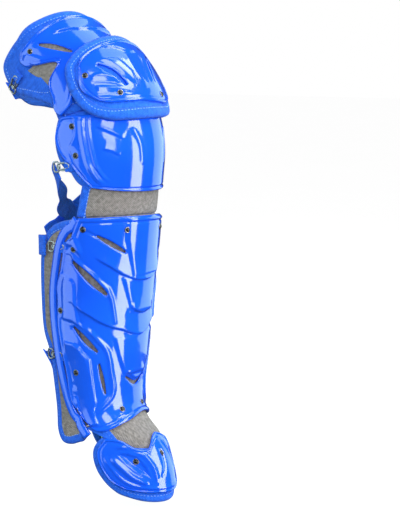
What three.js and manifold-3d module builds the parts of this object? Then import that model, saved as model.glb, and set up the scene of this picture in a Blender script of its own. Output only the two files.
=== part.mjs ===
// A catcher's leg guard for the right leg, shown as it is worn, in millimetres with +Z up.
// The front of the guard faces -Y, the inner side of the leg is +X and the outer side is -X.
// The origin is on the leg's axis in the middle of the shin hollow.
// Every plate, pad and strap lies on one bent leg surface. A place on that surface is an angle
// round the leg (0 at the front, positive to the inner side) and a level along it
// (-1 at the tip of the toe guard, 0 at the origin, 1 where the knee bends, 2 at the thigh rim).
import * as THREE from 'three';
import { mergeVertices } from 'three/addons/utils/BufferGeometryUtils.js';
import Module from 'manifold-3d';

// Lengths along the leg
const FOOT_DROP = 250;
const KNEE_HEIGHT = 177;
const THIGH_RUN = 173;
const KNEE_RADIUS = 120;
const KNEE_BEND = 41;

// Sizes of the leg's hollow at the origin, to the outside of the padding
const CALF_HALF_WIDTH = 61;
const SHIN_DEPTH = 52;
const CALF_DEPTH = 78;
const CALF_SQUARENESS = 0.6;

// Walls and clearances
const SHELL_THICKNESS = 3.2;
const RIDGE_HEIGHT = 2.2;
const RIDGE_WIDTH = 7;
const PAD_THICKNESS = 8;
const BAND_THICKNESS = 6;
const WING_THICKNESS = 7;
const CUP_THICKNESS = 9;
const INSERT_THICKNESS = 2;
const CAP_PAD_THICKNESS = 8;
const CAP_FLARE = 6;
// The knee cap stands away from the leg by CAP_FLARE more at FLARE_END than at FLARE_START degrees
const FLARE_START = 5;
const FLARE_END = 50;
const ROLL_THICKNESS = 9;
const CLEARANCE = 0.3;
const SHELL_LIFT = 1.4;
const LAYER_GAP = 0.6;
const SEAM = 0.6;
const SLOT_END_SHARE = 0.3;
const CUT_MARGIN = 3;
const CUP_GAP = 1.1;
const INSERT_GAP = 1.2;

// Webbing, hooks, sliders and rivets
const WEBBING_WIDTH = 25;
const CALF_STRAP_WIDTH = 34;
const TAB_WIDTH = 18;
const WEBBING_THICKNESS = 1.8;
const PANEL_THICKNESS = 2;
const HOOK_LENGTH = 26;
const HOOK_WIDTH = 15;
const HOOK_WIRE = 2.6;
const SLIDER_LENGTH = 20;
const SLIDER_BAR = 4;
const SLIDER_THICKNESS = 3;
const RIVET_RADIUS = 4;
const RIVET_HEIGHT = 2;

// Facets
const RIVET_SIDES = 8;
const WIRE_SIDES = 5;
const WIRE_STEPS = 14;

// The leg's cross-sections: half width, depth in front and depth behind as shares of
// CALF_HALF_WIDTH, SHIN_DEPTH and CALF_DEPTH
const SECTIONS = [
  { level: -1.0, half: 0.85, front: 1.96, rear: 0.77 },
  { level: -0.86, half: 0.85, front: 1.9, rear: 0.76 },
  { level: -0.76, half: 0.85, front: 1.75, rear: 0.78 },
  { level: -0.66, half: 0.84, front: 1.52, rear: 0.8 },
  { level: -0.59, half: 0.82, front: 1.12, rear: 0.8 },
  { level: -0.5, half: 0.84, front: 0.8, rear: 0.81 },
  { level: -0.24, half: 0.93, front: 0.87, rear: 0.92 },
  { level: 0.0, half: 1.0, front: 1.0, rear: 1.0 },
  { level: 0.34, half: 1.03, front: 1.15, rear: 1.0 },
  { level: 0.57, half: 1.05, front: 1.23, rear: 0.95 },
  { level: 0.85, half: 1.05, front: 1.35, rear: 0.87 },
  { level: 1.13, half: 1.08, front: 1.42, rear: 0.82 },
  { level: 1.48, half: 1.08, front: 1.35, rear: 0.82 },
  { level: 1.77, half: 1.05, front: 1.19, rear: 0.87 },
  { level: 2.12, half: 1.02, front: 1.12, rear: 0.92 },
];

// Outlines as [angle in degrees, level]. Top and bottom run from the outer side to the inner
// side with their corners; left (outer side) and right run upwards between those corners.
const SHIN_PLATE = {
  top: [[-81, 0.6], [-30, 0.615], [25, 0.61], [74, 0.58]],
  bottom: [[-75, -0.6], [-66, -0.63], [-26, -0.585], [15, -0.555], [55, -0.59], [89, -0.64]],
  left: [[-91, -0.51], [-95, -0.33], [-99, -0.13], [-98, 0.02], [-98, 0.13], [-95, 0.24], [-91, 0.45]],
  right: [[90, -0.48], [91, -0.22], [91, 0.04], [83.5, 0.31]],
};
const KNEE_PLATE = {
  top: [[-90, 1.32], [-60, 1.26], [0, 1.24], [45, 1.25], [70, 1.29]],
  bottom: [[-67, 0.82], [-30, 0.8], [30, 0.8], [62, 0.83]],
  left: [[-77, 0.88], [-91, 1.0], [-98, 1.17]],
  right: [[70, 0.95], [74, 1.12]],
};
const KNEE_CAP = {
  top: [[-50, 1.51], [-44, 1.55], [-30, 1.575], [0, 1.58], [26, 1.56], [38, 1.5]],
  bottom: [[-50, 1.3], [-41, 1.275], [-16, 1.255], [17, 1.24], [30, 1.26], [38, 1.31]],
  left: [[-58, 1.36], [-59, 1.42]],
  right: [[42, 1.36], [42, 1.44]],
};
const KNEE_CAP_PAD = {
  top: [[-60, 1.53], [-52, 1.575], [-35, 1.62], [0, 1.635], [28, 1.615], [42, 1.53]],
  bottom: [[-58, 1.28], [-50, 1.235], [-37, 1.2], [0, 1.185], [28, 1.2], [42, 1.27]],
  left: [[-66, 1.34], [-67.5, 1.43]],
  right: [[46, 1.35], [47, 1.44]],
};
const THIGH_PLATE = {
  top: [[-90, 1.92], [-46, 1.955], [-10, 1.935], [20, 1.87], [40, 1.81], [60, 1.78]],
  bottom: [[-90, 1.33], [-76, 1.36], [-62, 1.46], [-40, 1.5], [0, 1.52], [40, 1.5], [74, 1.4]],
  left: [[-91, 1.4], [-85, 1.57], [-65, 1.655], [-89, 1.77], [-93, 1.86]],
  right: [[76, 1.49], [73, 1.62], [70, 1.72]],
};
const TOE_PLATE = {
  top: [[-62, -0.66], [-48, -0.665], [-35, -0.7], [-22, -0.71], [-11, -0.665], [0, -0.645], [18, -0.67]],
  bottom: [[-50, -0.9], [-28, -0.915], [6, -0.915], [20, -0.89]],
  left: [[-62.5, -0.86], [-70, -0.79], [-71, -0.72]],
  right: [[29, -0.83], [29, -0.75]],
};
const THIGH_PAD = {
  top: [[-98, 1.975], [-72, 2.02], [-49, 2.015], [-10, 1.985], [12, 1.93], [32, 1.85], [60, 1.825], [80, 1.795]],
  bottom: [[-93, 1.33], [-60, 1.3], [0, 1.28], [50, 1.28], [81, 1.32]],
  left: [[-93, 1.43], [-97, 1.54], [-109, 1.67], [-123, 1.77], [-126, 1.85], [-117, 1.94]],
  right: [[87, 1.48], [82, 1.68]],
};
const below = (line) => line.map(([angle, level]) => {
  const run = level < 0 ? FOOT_DROP : level < 1 ? KNEE_HEIGHT : THIGH_RUN;
  return [angle, level - SEAM / run];
});
const KNEE_PAD = {
  top: below(THIGH_PAD.bottom),
  bottom: [[-78, 0.835], [-30, 0.82], [30, 0.82], [79, 0.835]],
  left: [[-88, 0.9], [-99, 1.02], [-101, 1.17]],
  right: [[82, 1.0], [84, 1.15]],
};
const NECK_BAND = {
  top: below(KNEE_PAD.bottom),
  bottom: [[-84, 0.615], [-30, 0.63], [30, 0.625], [80, 0.6]],
  left: [],
  right: [],
};
const SHIN_LINER = {
  top: below(NECK_BAND.bottom),
  bottom: [[-84, -0.61], [-40, -0.54], [15, -0.51], [55, -0.55], [81, -0.61]],
  left: [],
  right: [],
};
const ANKLE_GUSSET = {
  top: below(SHIN_LINER.bottom),
  bottom: [[-66, -0.65], [-40, -0.7], [0, -0.7], [40, -0.69], [81, -0.68]],
  left: [],
  right: [],
};
const TOE_PAD = {
  top: below(ANKLE_GUSSET.bottom),
  bottom: [[-54, -0.925], [-28, -0.955], [6, -0.955], [30, -0.925], [58, -0.87], [81, -0.82]],
  left: [[-67, -0.87], [-75, -0.8], [-76, -0.72]],
  right: [],
};
const LATERAL_WING = {
  top: [[-120, 0.42], [-104, 0.53], [-85, 0.6]],
  bottom: [[-113, -0.62], [-104, -0.7], [-94, -0.705], [-85, -0.66]],
  left: [[-114, -0.5], [-117, -0.24], [-128, -0.15], [-126, 0.0], [-125, 0.28]],
  right: [],
};
const MEDIAL_WING = {
  top: [[84, 0.79], [96, 0.76], [112, 0.63], [128, 0.46]],
  bottom: [[84, -0.8], [100, -0.825], [118, -0.8], [131, -0.74]],
  left: [],
  right: [[138, -0.66], [131, -0.55], [121, -0.36], [112, -0.21], [114, -0.1], [124, 0.1], [129, 0.3]],
};
const KNEE_CUP = {
  top: [[-72, 1.17], [-50, 1.225], [0, 1.245], [40, 1.2], [55, 1.14]],
  bottom: [[-66, 0.88], [-30, 0.84], [20, 0.84], [50, 0.9]],
  left: [[-80, 0.96], [-80, 1.08]],
  right: [[57, 1.0]],
};
const KNEE_CUP_INSERT = {
  top: [[-40, 1.1], [-10, 1.115], [20, 1.1]],
  bottom: [[-36, 0.93], [-10, 0.9], [20, 0.93]],
  left: [[-52, 0.99], [-52, 1.05]],
  right: [[30, 1.0]],
};
const ANKLE_ROLL = {
  top: [[-80, -0.36], [-40, -0.33], [20, -0.33], [60, -0.36]],
  bottom: [[-80, -0.5], [-40, -0.46], [20, -0.45], [60, -0.5]],
  left: [],
  right: [],
};
const HARNESS_PANEL = {
  top: [[122, 0.61], [145, 0.59], [168, 0.5], [182, 0.4]],
  bottom: [[137, -0.17], [154, -0.19], [170, -0.19]],
  left: [[130.5, -0.13], [130, 0.0], [130, 0.16], [127, 0.28], [120.5, 0.36], [120, 0.48]],
  right: [[176, -0.14], [176, -0.03], [178.5, 0.14], [180.5, 0.3]],
};

// Raised folds of the hard plates, as [angle, level] lines
const SHIN_RIDGES = [
  [[-61, 0.34], [-25, 0.21], [-3, 0.18], [22, 0.28], [45, 0.4]],
  [[-92, 0.06], [-45, -0.11], [-20, -0.165], [6, -0.145], [40, -0.05], [78, 0.1]],
  [[-88, 0.37], [-45, 0.11], [-33, 0.02]],
  [[-90, -0.07], [-55, -0.26], [-40, -0.42]],
  [[-19, 0.43], [-17, 0.2], [-15, -0.03], [-21, -0.07], [-17, -0.4]],
  [[64, 0.42], [48, 0.16], [44, -0.04]],
  [[80, -0.02], [56, -0.26], [46, -0.42]],
];
const KNEE_RIDGES = [
  [[-68, 1.15], [-71, 1.01], [-62, 0.86]],
  [[57, 1.1], [58, 1.0], [52, 0.86]],
];
const THIGH_RIDGES = [
  [[-46, 1.87], [-15, 1.83], [16, 1.79]],
];
const CAP_RIDGES = [
  [[-36, 1.54], [-24, 1.44], [-13, 1.34]],
  [[26, 1.5], [12, 1.4], [2, 1.32]],
];

// Openings through the plates: a line of [angle, level] places and the width at its middle
const SHIN_SLOTS = [
  { width: 6, line: [[-59, 0.49], [-44, 0.435], [-29, 0.38]] },
  { width: 9, line: [[-87, 0.3], [-68, 0.2], [-48, 0.09]] },
  { width: 7, line: [[-88, -0.11], [-72, -0.17], [-57, -0.225]] },
  { width: 4.5, line: [[-54, -0.29], [-49, -0.37], [-45, -0.44]] },
  { width: 5, line: [[-14, -0.365], [3, -0.4], [22, -0.37]] },
  { width: 6, line: [[54, 0.46], [42, 0.41], [30, 0.36]] },
  { width: 8, line: [[80, 0.16], [66, 0.1], [52, 0.02]] },
  { width: 7, line: [[82, -0.14], [68, -0.2], [56, -0.25]] },
];
const CAP_SLOTS = [
  { width: 6, line: [[-37, 1.46], [-29, 1.4], [-23, 1.335]] },
  { width: 5, line: [[24, 1.45], [17, 1.4], [12, 1.35]] },
];
const THIGH_SLOTS = [
  { width: 7, line: [[-69, 1.855], [-57, 1.77], [-46, 1.67]] },
];
const TOE_SLOTS = [
  { width: 11, line: [[-50, -0.735], [-38, -0.79], [-29, -0.84]] },
];

// Rivets as [angle, level] on each plate
const SHIN_RIVETS = [
  [-75, 0.535], [-86, 0.395], [-95, -0.03], [-88, -0.335], [-28, 0.535], [24, 0.535],
  [-24, -0.53], [20, -0.515], [58, 0.47], [69, 0.375], [85, -0.05], [81, -0.395],
];
const KNEE_RIVETS = [[-82, 1.23], [-83, 1.04], [58, 1.17], [61, 1.0]];
const CAP_RIVETS = [[-51, 1.44], [-31, 1.305], [15, 1.275]];
const THIGH_RIVETS = [[-82, 1.86], [64, 1.72]];
const TOE_RIVETS = [[-37, -0.765], [-4, -0.735]];

// Straps as [angle, level, hug]: hug is the share of the way from the leg's axis to its surface,
// so a strap that runs straight from one side to the other has a hug under 1 between them.
// An angle past 180 carries on round the back of the leg to the outer side.
const STRAPS = [
  { name: 'thigh_strap', width: WEBBING_WIDTH, layer: 1, route: [
    [93.4, 1.668, 1], [104, 1.67, 1], [117, 1.683, 1], [131, 1.7, 1], [148, 1.72, 1], [165, 1.755, 1],
    [180, 1.79, 0.99], [192, 1.81, 0.95], [206, 1.82, 0.92], [218, 1.82, 0.95], [227, 1.81, 1]] },
  { name: 'upper_calf_strap', width: CALF_STRAP_WIDTH, layer: 2.35, route: [
    [88, 0.91, 1], [92, 0.86, 1], [101, 0.807, 1], [111.5, 0.762, 1], [127, 0.7, 1],
    [145, 0.625, 1], [170, 0.52, 1], [184, 0.42, 1]] },
  { name: 'lateral_calf_strap', width: WEBBING_WIDTH, layer: 0.3, route: [
    [257, 0.93, 0.97], [248, 0.9, 0.9], [233, 0.84, 0.81], [203, 0.746, 0.7], [184, 0.66, 0.83],
    [172, 0.56, 0.94], [164, 0.47, 0.985]] },
  { name: 'harness_arm', width: WEBBING_WIDTH, layer: 2.25, route: [
    [93, 0.44, 1], [103, 0.443, 1], [113, 0.445, 1], [126, 0.44, 1]] },
  { name: 'upper_lateral_strap', width: WEBBING_WIDTH, layer: 0.3, route: [
    [176, 0.37, 0.99], [190, 0.375, 0.97], [202, 0.38, 0.92], [216, 0.39, 0.89], [228, 0.395, 0.95],
    [236, 0.4, 1.05], [243, 0.4, 1.06], [250, 0.4, 1.06]] },
  { name: 'lower_lateral_strap', width: WEBBING_WIDTH, layer: 0, route: [
    [160, -0.17, 0.985], [170, -0.23, 0.975], [182, -0.29, 0.955], [196, -0.32, 0.93], [212, -0.32, 0.9],
    [228, -0.3, 0.97], [236, -0.28, 1.04]] },
  { name: 'lower_medial_strap', width: WEBBING_WIDTH, layer: 2.25, route: [
    [157, -0.15, 1], [148, -0.205, 1], [139, -0.24, 1], [129, -0.265, 1], [119, -0.295, 1],
    [112, -0.325, 1]] },
  { name: 'medial_tab', width: TAB_WIDTH, layer: 1, route: [
    [91.5, -0.4, 1], [94, -0.405, 1], [97, -0.4, 1]] },
];

// Snap hooks: [angle, level], the direction of the strap they hold in degrees from level, and
// the strap layer they lie in
const HOOKS = [
  { name: 'thigh_hook', angle: 89, level: 1.67, turn: -15, layer: 1 },
  { name: 'knee_hook', angle: 84, level: 0.94, turn: -38, layer: 1 },
  { name: 'calf_hook', angle: 90.3, level: 0.44, turn: 0, layer: 1 },
  { name: 'ankle_hook', angle: 101.2, level: -0.373, turn: 38, layer: 2 },
  { name: 'thigh_side_hook', angle: 246, level: 1.8, turn: 10, layer: 1 },
  { name: 'knee_side_hook', angle: 265, level: 0.96, turn: 5, layer: 1 },
  { name: 'calf_side_hook', angle: 261, level: 0.4, turn: 0, layer: 1 },
  { name: 'ankle_side_hook', angle: 253.5, level: -0.26, turn: 0, layer: 1 },
];
const SLIDERS = [
  { name: 'knee_slider', angle: 93, level: 0.845, turn: -38, layer: 3.35, width: CALF_STRAP_WIDTH },
  { name: 'calf_slider', angle: 99, level: 0.442, turn: 0, layer: 3.05, width: WEBBING_WIDTH },
  { name: 'ankle_buckle', angle: 114, level: -0.312, turn: 35, layer: 3.15, width: WEBBING_WIDTH },
];

const RADIANS = Math.PI / 180;
const BEND_LENGTH = KNEE_RADIUS * KNEE_BEND * RADIANS;

const LOOKS = {
  shell: { color: 0x1560f0, roughness: 0.15, metalness: 0 },
  binding: { color: 0x2f6fe0, roughness: 0.8, metalness: 0 },
  webbing: { color: 0x2a62d8, roughness: 0.85, metalness: 0 },
  mesh: { color: 0x8c8880, roughness: 0.9, metalness: 0 },
  lining: { color: 0xa8ee90, roughness: 0.9, metalness: 0 },
  leather: { color: 0x151515, roughness: 0.45, metalness: 0 },
  insert: { color: 0xe6cf5a, roughness: 0.6, metalness: 0 },
  chrome: { color: 0xd8d8dc, roughness: 0.15, metalness: 1 },
  plastic: { color: 0x101012, roughness: 0.4, metalness: 0 },
};

// The distance along the leg that a level stands for
function reach(level) {
  if (level < 0) return level * FOOT_DROP;
  if (level < 1) return level * KNEE_HEIGHT;
  return KNEE_HEIGHT + (level - 1) * THIGH_RUN;
}

// A smooth curve through a column of a table whose rows are in order of their level
function column(rows, level, key) {
  const last = rows.length - 1;
  let i = 0;
  while (i < last - 1 && rows[i + 1].level < level) i += 1;
  const at = (k) => rows[Math.min(Math.max(k, 0), last)];
  const slope = (k) => {
    const before = at(k - 1);
    const after = at(k + 1);
    return (after[key] - before[key]) / (reach(after.level) - reach(before.level));
  };
  const start = reach(rows[i].level);
  const span = reach(rows[i + 1].level) - start;
  const t = Math.min(Math.max((reach(level) - start) / span, 0), 1);
  const t2 = t * t;
  const t3 = t2 * t;
  return rows[i][key] * (2 * t3 - 3 * t2 + 1) + rows[i + 1][key] * (3 * t2 - 2 * t3)
    + slope(i) * span * (t3 - 2 * t2 + t) + slope(i + 1) * span * (t3 - t2);
}

// The leg's axis at a level and how far it leans there
function axis(level) {
  const bent = Math.min(Math.max(reach(level) - KNEE_HEIGHT, 0), BEND_LENGTH);
  const above = Math.max(reach(level) - KNEE_HEIGHT - BEND_LENGTH, 0);
  const below = reach(level) - bent - above;
  const tilt = bent / KNEE_RADIUS;
  const y = KNEE_RADIUS * (1 - Math.cos(tilt)) + above * Math.sin(tilt);
  const z = below + KNEE_RADIUS * Math.sin(tilt) + above * Math.cos(tilt);
  return { centre: new THREE.Vector3(0, y, z), tilt };
}

// A point of the leg surface itself
function skin(angle, level) {
  const half = CALF_HALF_WIDTH * column(SECTIONS, level, 'half');
  const front = SHIN_DEPTH * column(SECTIONS, level, 'front');
  const rear = CALF_DEPTH * column(SECTIONS, level, 'rear');
  const side = Math.sin(angle * RADIANS);
  const ahead = Math.cos(angle * RADIANS);
  let across = half * side;
  let forward = front * ahead;
  if (ahead < 0) {
    across = half * Math.sign(side) * Math.abs(side) ** CALF_SQUARENESS;
    forward = -rear * Math.abs(ahead) ** CALF_SQUARENESS;
  }
  const { centre, tilt } = axis(level);
  return centre.add(new THREE.Vector3(across, -Math.cos(tilt) * forward, Math.sin(tilt) * forward));
}

// The direction that points straight out of the leg
function outward(angle, level) {
  const round = skin(angle + 1, level).sub(skin(angle - 1, level));
  const along = skin(angle, level + 0.01).sub(skin(angle, level - 0.01));
  return round.cross(along).normalize();
}

function place(angle, level, height) {
  return skin(angle, level).addScaledVector(outward(angle, level), height);
}

// The row at a share of the length of a smooth line through rows that start with angle and level
function follow(line, share) {
  const flat = line.map(([angle, level]) => new THREE.Vector3(angle, reach(level), 0));
  const lengths = [0];
  for (let i = 1; i < flat.length; i += 1) lengths.push(lengths[i - 1] + flat[i].distanceTo(flat[i - 1]));
  const wanted = share * lengths[lengths.length - 1];
  let i = 1;
  while (i < line.length - 1 && lengths[i] < wanted) i += 1;
  const t = (wanted - lengths[i - 1]) / (lengths[i] - lengths[i - 1]);
  const last = line.length - 1;
  const tangent = (k, c) => {
    const a = Math.max(k - 1, 0);
    const b = Math.min(k + 1, last);
    return (line[b][c] - line[a][c]) / (lengths[b] - lengths[a]);
  };
  const span = lengths[i] - lengths[i - 1];
  const t2 = t * t;
  const t3 = t2 * t;
  return line[0].map((_, c) => line[i - 1][c] * (2 * t3 - 3 * t2 + 1) + line[i][c] * (3 * t2 - 2 * t3)
    + tangent(i - 1, c) * span * (t3 - 2 * t2 + t) + tangent(i, c) * span * (t3 - t2));
}

// The place at (u, v) of an outline whose four sides are smooth lines
function within(outline, u, v) {
  const { top, bottom } = outline;
  const left = [bottom[0], ...outline.left, top[0]];
  const right = [bottom[bottom.length - 1], ...outline.right, top[top.length - 1]];
  const b = follow(bottom, u);
  const t = follow(top, u);
  const l = follow(left, v);
  const r = follow(right, v);
  return [0, 1].map((c) => (1 - v) * b[c] + v * t[c] + (1 - u) * l[c] + u * r[c]
    - (1 - u) * (1 - v) * left[0][c] - u * (1 - v) * right[0][c]
    - (1 - u) * v * top[0][c] - u * v * top[top.length - 1][c]);
}

// A closed body between two skins that share one grid of columns and rows
function slab(columns, rows, outer, inner) {
  const positions = [];
  const index = [];
  const wide = columns + 1;
  const layer = wide * (rows + 1);
  for (const sheet of [outer, inner]) {
    for (let j = 0; j <= rows; j += 1) {
      for (let i = 0; i <= columns; i += 1) positions.push(...sheet(i / columns, j / rows).toArray());
    }
  }
  const quad = (a, b, c, d) => index.push(a, b, c, a, c, d);
  for (let j = 0; j < rows; j += 1) {
    for (let i = 0; i < columns; i += 1) {
      const k = j * wide + i;
      quad(k, k + 1, k + wide + 1, k + wide);
      quad(layer + k + wide, layer + k + wide + 1, layer + k + 1, layer + k);
    }
  }
  for (let i = 0; i < columns; i += 1) {
    const k = rows * wide + i;
    quad(layer + i, layer + i + 1, i + 1, i);
    quad(k, k + 1, layer + k + 1, layer + k);
  }
  for (let j = 0; j < rows; j += 1) {
    const k = j * wide;
    quad(k, k + wide, layer + k + wide, layer + k);
    quad(layer + k + columns, layer + k + wide + columns, k + wide + columns, k + columns);
  }
  const geometry = new THREE.BufferGeometry();
  geometry.setAttribute('position', new THREE.Float32BufferAttribute(positions, 3));
  geometry.setIndex(index);
  return geometry;
}

// A patch of the leg surface between two heights, each a number or a function of the place
function patch(outline, columns, rows, low, high) {
  const sheet = (height) => (u, v) => {
    const [angle, level] = within(outline, u, v);
    return place(angle, level, typeof height === 'function' ? height(angle, level) : height);
  };
  return slab(columns, rows, sheet(high), sheet(low));
}

// A band that follows a line of [angle, level, hug] places, centred at a height above them
function band(route, steps, widthAt, height, thickness) {
  const line = route.map(([angle, level, hug = 1]) => [angle, level, hug]);
  const spot = (v) => {
    const [angle, level, hug] = follow(line, v);
    return axis(level).centre.lerp(skin(angle, level), hug).addScaledVector(outward(angle, level), height);
  };
  const sheet = (side) => (u, v) => {
    const along = spot(Math.min(v + 0.02, 1)).sub(spot(Math.max(v - 0.02, 0)));
    const [angle, level] = follow(line, v);
    const across = along.clone().cross(outward(angle, level)).normalize();
    const normal = across.clone().cross(along).normalize();
    return spot(v).addScaledVector(across, (u - 0.5) * widthAt(v))
      .addScaledVector(normal, side * thickness / 2);
  };
  return slab(1, steps, sheet(1), sheet(-1));
}

// How high the folds of a plate stand at a place
function fold(ridges, angle, level) {
  const here = skin(angle, level);
  let height = 0;
  for (const line of ridges) {
    const count = 24;
    let nearest = Infinity;
    for (let k = 0; k <= count; k += 1) {
      const [a, l] = follow(line, k / count);
      nearest = Math.min(nearest, here.distanceTo(skin(a, l)));
    }
    height = Math.max(height, RIDGE_HEIGHT * Math.exp(-((nearest / RIDGE_WIDTH) ** 2)));
  }
  return height;
}

const wasm = await Module();
wasm.setup();

function solid(geometry) {
  const bare = geometry.clone();
  bare.deleteAttribute('normal');
  bare.deleteAttribute('uv');
  const merged = mergeVertices(bare, 1e-4);
  const corners = merged.index.array;
  const faces = [];
  for (let i = 0; i < corners.length; i += 3) {
    const face = [corners[i], corners[i + 1], corners[i + 2]];
    if (new Set(face).size === 3) faces.push(...face);
  }
  return new wasm.Manifold(new wasm.Mesh({
    numProp: 3,
    vertProperties: new Float32Array(merged.attributes.position.array),
    triVerts: new Uint32Array(faces),
  }));
}

function geometryOf(body) {
  const mesh = body.getMesh();
  const geometry = new THREE.BufferGeometry();
  geometry.setAttribute('position', new THREE.BufferAttribute(new Float32Array(mesh.vertProperties), 3));
  geometry.setIndex(new THREE.BufferAttribute(new Uint32Array(mesh.triVerts), 1));
  return geometry;
}

function cutSlots(geometry, slots, height) {
  let body = solid(geometry);
  const depth = SHELL_THICKNESS + 2 * (RIDGE_HEIGHT + CUT_MARGIN);
  for (const slot of slots) {
    const belly = (v) => Math.sin(Math.PI * (0.08 + 0.84 * v));
    const width = (v) => slot.width * (SLOT_END_SHARE + (1 - SLOT_END_SHARE) * belly(v));
    body = body.subtract(solid(band(slot.line, 4, width, height, depth)));
  }
  return geometryOf(body);
}

const group = new THREE.Group();

function add(name, geometry, look) {
  const material = new THREE.MeshStandardMaterial(LOOKS[look]);
  const mesh = new THREE.Mesh(geometry, material);
  mesh.name = name;
  group.add(mesh);
}

// The hard plates. Each lies just clear of the padding and its folds stand out from it.
const plateOuter = (ridges, lift) => (angle, level) => (
  lift(angle) + SHELL_THICKNESS + fold(ridges, angle, level));
const plateInner = (ridges, lift) => (angle, level) => lift(angle) + fold(ridges, angle, level);
const close = () => SHELL_LIFT;
const capLift = (angle) => {
  const open = Math.min(Math.max((angle - FLARE_START) / (FLARE_END - FLARE_START), 0), 1);
  return SHELL_LIFT + SHELL_THICKNESS + 2 * CLEARANCE + CAP_FLARE * open * open;
};
const capShellLift = (angle) => capLift(angle) + CAP_PAD_THICKNESS + 2 * CLEARANCE;

// Each plate also leaves the room that it and its clearance fill, which the rivets stand on
const rooms = {};
function plate(name, outline, columns, rows, ridges, slots, lift) {
  const outer = plateOuter(ridges, lift);
  const geometry = patch(outline, columns, rows, plateInner(ridges, lift), outer);
  const middle = lift(0) + SHELL_THICKNESS / 2;
  add(name, slots.length ? cutSlots(geometry, slots, middle) : geometry, 'shell');
  const raised = (angle, level) => outer(angle, level) + CLEARANCE;
  rooms[name] = { outer, body: solid(patch(outline, columns, rows, () => 0, raised)) };
}
plate('shin_plate', SHIN_PLATE, 17, 16, SHIN_RIDGES, SHIN_SLOTS, close);
plate('lower_knee_plate', KNEE_PLATE, 13, 7, KNEE_RIDGES, [], close);
plate('knee_cap', KNEE_CAP, 12, 8, CAP_RIDGES, CAP_SLOTS, capShellLift);
plate('thigh_plate', THIGH_PLATE, 12, 9, THIGH_RIDGES, THIGH_SLOTS, close);
plate('toe_plate', TOE_PLATE, 10, 7, [], TOE_SLOTS, close);

// The padding under the plates, and the wings that wrap round the calf
function pad(name, outline, columns, rows, low, thickness, look) {
  add(name, patch(outline, columns, rows, low, low + thickness), look);
}
pad('thigh_pad', THIGH_PAD, 13, 7, -PAD_THICKNESS, PAD_THICKNESS, 'lining');
pad('knee_pad', KNEE_PAD, 13, 5, -PAD_THICKNESS, PAD_THICKNESS, 'lining');
pad('neck_band', NECK_BAND, 13, 2, -BAND_THICKNESS, BAND_THICKNESS, 'mesh');
pad('shin_liner', SHIN_LINER, 13, 13, -PAD_THICKNESS, PAD_THICKNESS, 'leather');
pad('lateral_wing', LATERAL_WING, 5, 9, -WING_THICKNESS, WING_THICKNESS, 'mesh');
pad('medial_wing', MEDIAL_WING, 6, 11, -WING_THICKNESS, WING_THICKNESS, 'mesh');
pad('ankle_gusset', ANKLE_GUSSET, 13, 4, -BAND_THICKNESS, BAND_THICKNESS, 'mesh');
pad('toe_pad', TOE_PAD, 13, 5, -PAD_THICKNESS, PAD_THICKNESS, 'lining');
const cupTop = -PAD_THICKNESS - CUP_GAP;
pad('knee_cup', KNEE_CUP, 12, 7, cupTop - CUP_THICKNESS, CUP_THICKNESS, 'leather');
pad('knee_cup_insert', KNEE_CUP_INSERT, 8, 4, cupTop - CUP_THICKNESS - INSERT_GAP - INSERT_THICKNESS,
  INSERT_THICKNESS, 'insert');
pad('ankle_roll', ANKLE_ROLL, 10, 3, cupTop - ROLL_THICKNESS, ROLL_THICKNESS, 'leather');
const capPadLow = (angle) => capLift(angle);
const capPadHigh = (angle) => capLift(angle) + CAP_PAD_THICKNESS;
add('knee_cap_pad', patch(KNEE_CAP_PAD, 12, 8, capPadLow, capPadHigh), 'binding');

// The webbing, in layers over the wings
const layerHeight = (layer) => CLEARANCE + (layer - 0.5) * (WEBBING_THICKNESS + LAYER_GAP);
for (const strap of STRAPS) {
  const steps = 2 * (strap.route.length - 1);
  const height = layerHeight(strap.layer);
  add(strap.name, band(strap.route, steps, () => strap.width, height, WEBBING_THICKNESS), 'webbing');
}
const panelMiddle = layerHeight(1) + LAYER_GAP;
add('harness_panel', patch(HARNESS_PANEL, 6, 8, panelMiddle - PANEL_THICKNESS / 2,
  panelMiddle + PANEL_THICKNESS / 2), 'webbing');

// A frame that lies on the leg surface and is turned about the direction out of the leg
function seat(angle, level, height, turn) {
  const normal = outward(angle, level);
  const round = skin(angle + 1, level).sub(skin(angle - 1, level)).normalize();
  const along = new THREE.Vector3().crossVectors(normal, round);
  const x = round.multiplyScalar(Math.cos(turn * RADIANS)).addScaledVector(along, Math.sin(turn * RADIANS));
  const y = new THREE.Vector3().crossVectors(normal, x);
  return new THREE.Matrix4().makeBasis(x, y, normal).setPosition(place(angle, level, height));
}

// A closed ring of bent wire
function wireRing(length, width, wire) {
  const positions = [];
  const index = [];
  for (let i = 0; i < WIRE_STEPS; i += 1) {
    const turn = 2 * Math.PI * i / WIRE_STEPS;
    const centre = new THREE.Vector3((length - wire) / 2 * Math.cos(turn), (width - wire) / 2 * Math.sin(turn), 0);
    const out = new THREE.Vector3(Math.cos(turn) * width, Math.sin(turn) * length, 0).normalize();
    for (let k = 0; k < WIRE_SIDES; k += 1) {
      const roll = 2 * Math.PI * k / WIRE_SIDES;
      const point = centre.clone().addScaledVector(out, wire / 2 * Math.cos(roll));
      positions.push(point.x, point.y, wire / 2 * Math.sin(roll));
      const next = (i + 1) % WIRE_STEPS;
      const side = (k + 1) % WIRE_SIDES;
      const a = i * WIRE_SIDES + k;
      const b = next * WIRE_SIDES + k;
      const c = next * WIRE_SIDES + side;
      const d = i * WIRE_SIDES + side;
      index.push(a, b, c, a, c, d);
    }
  }
  const geometry = new THREE.BufferGeometry();
  geometry.setAttribute('position', new THREE.Float32BufferAttribute(positions, 3));
  geometry.setIndex(index);
  return geometry;
}

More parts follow.
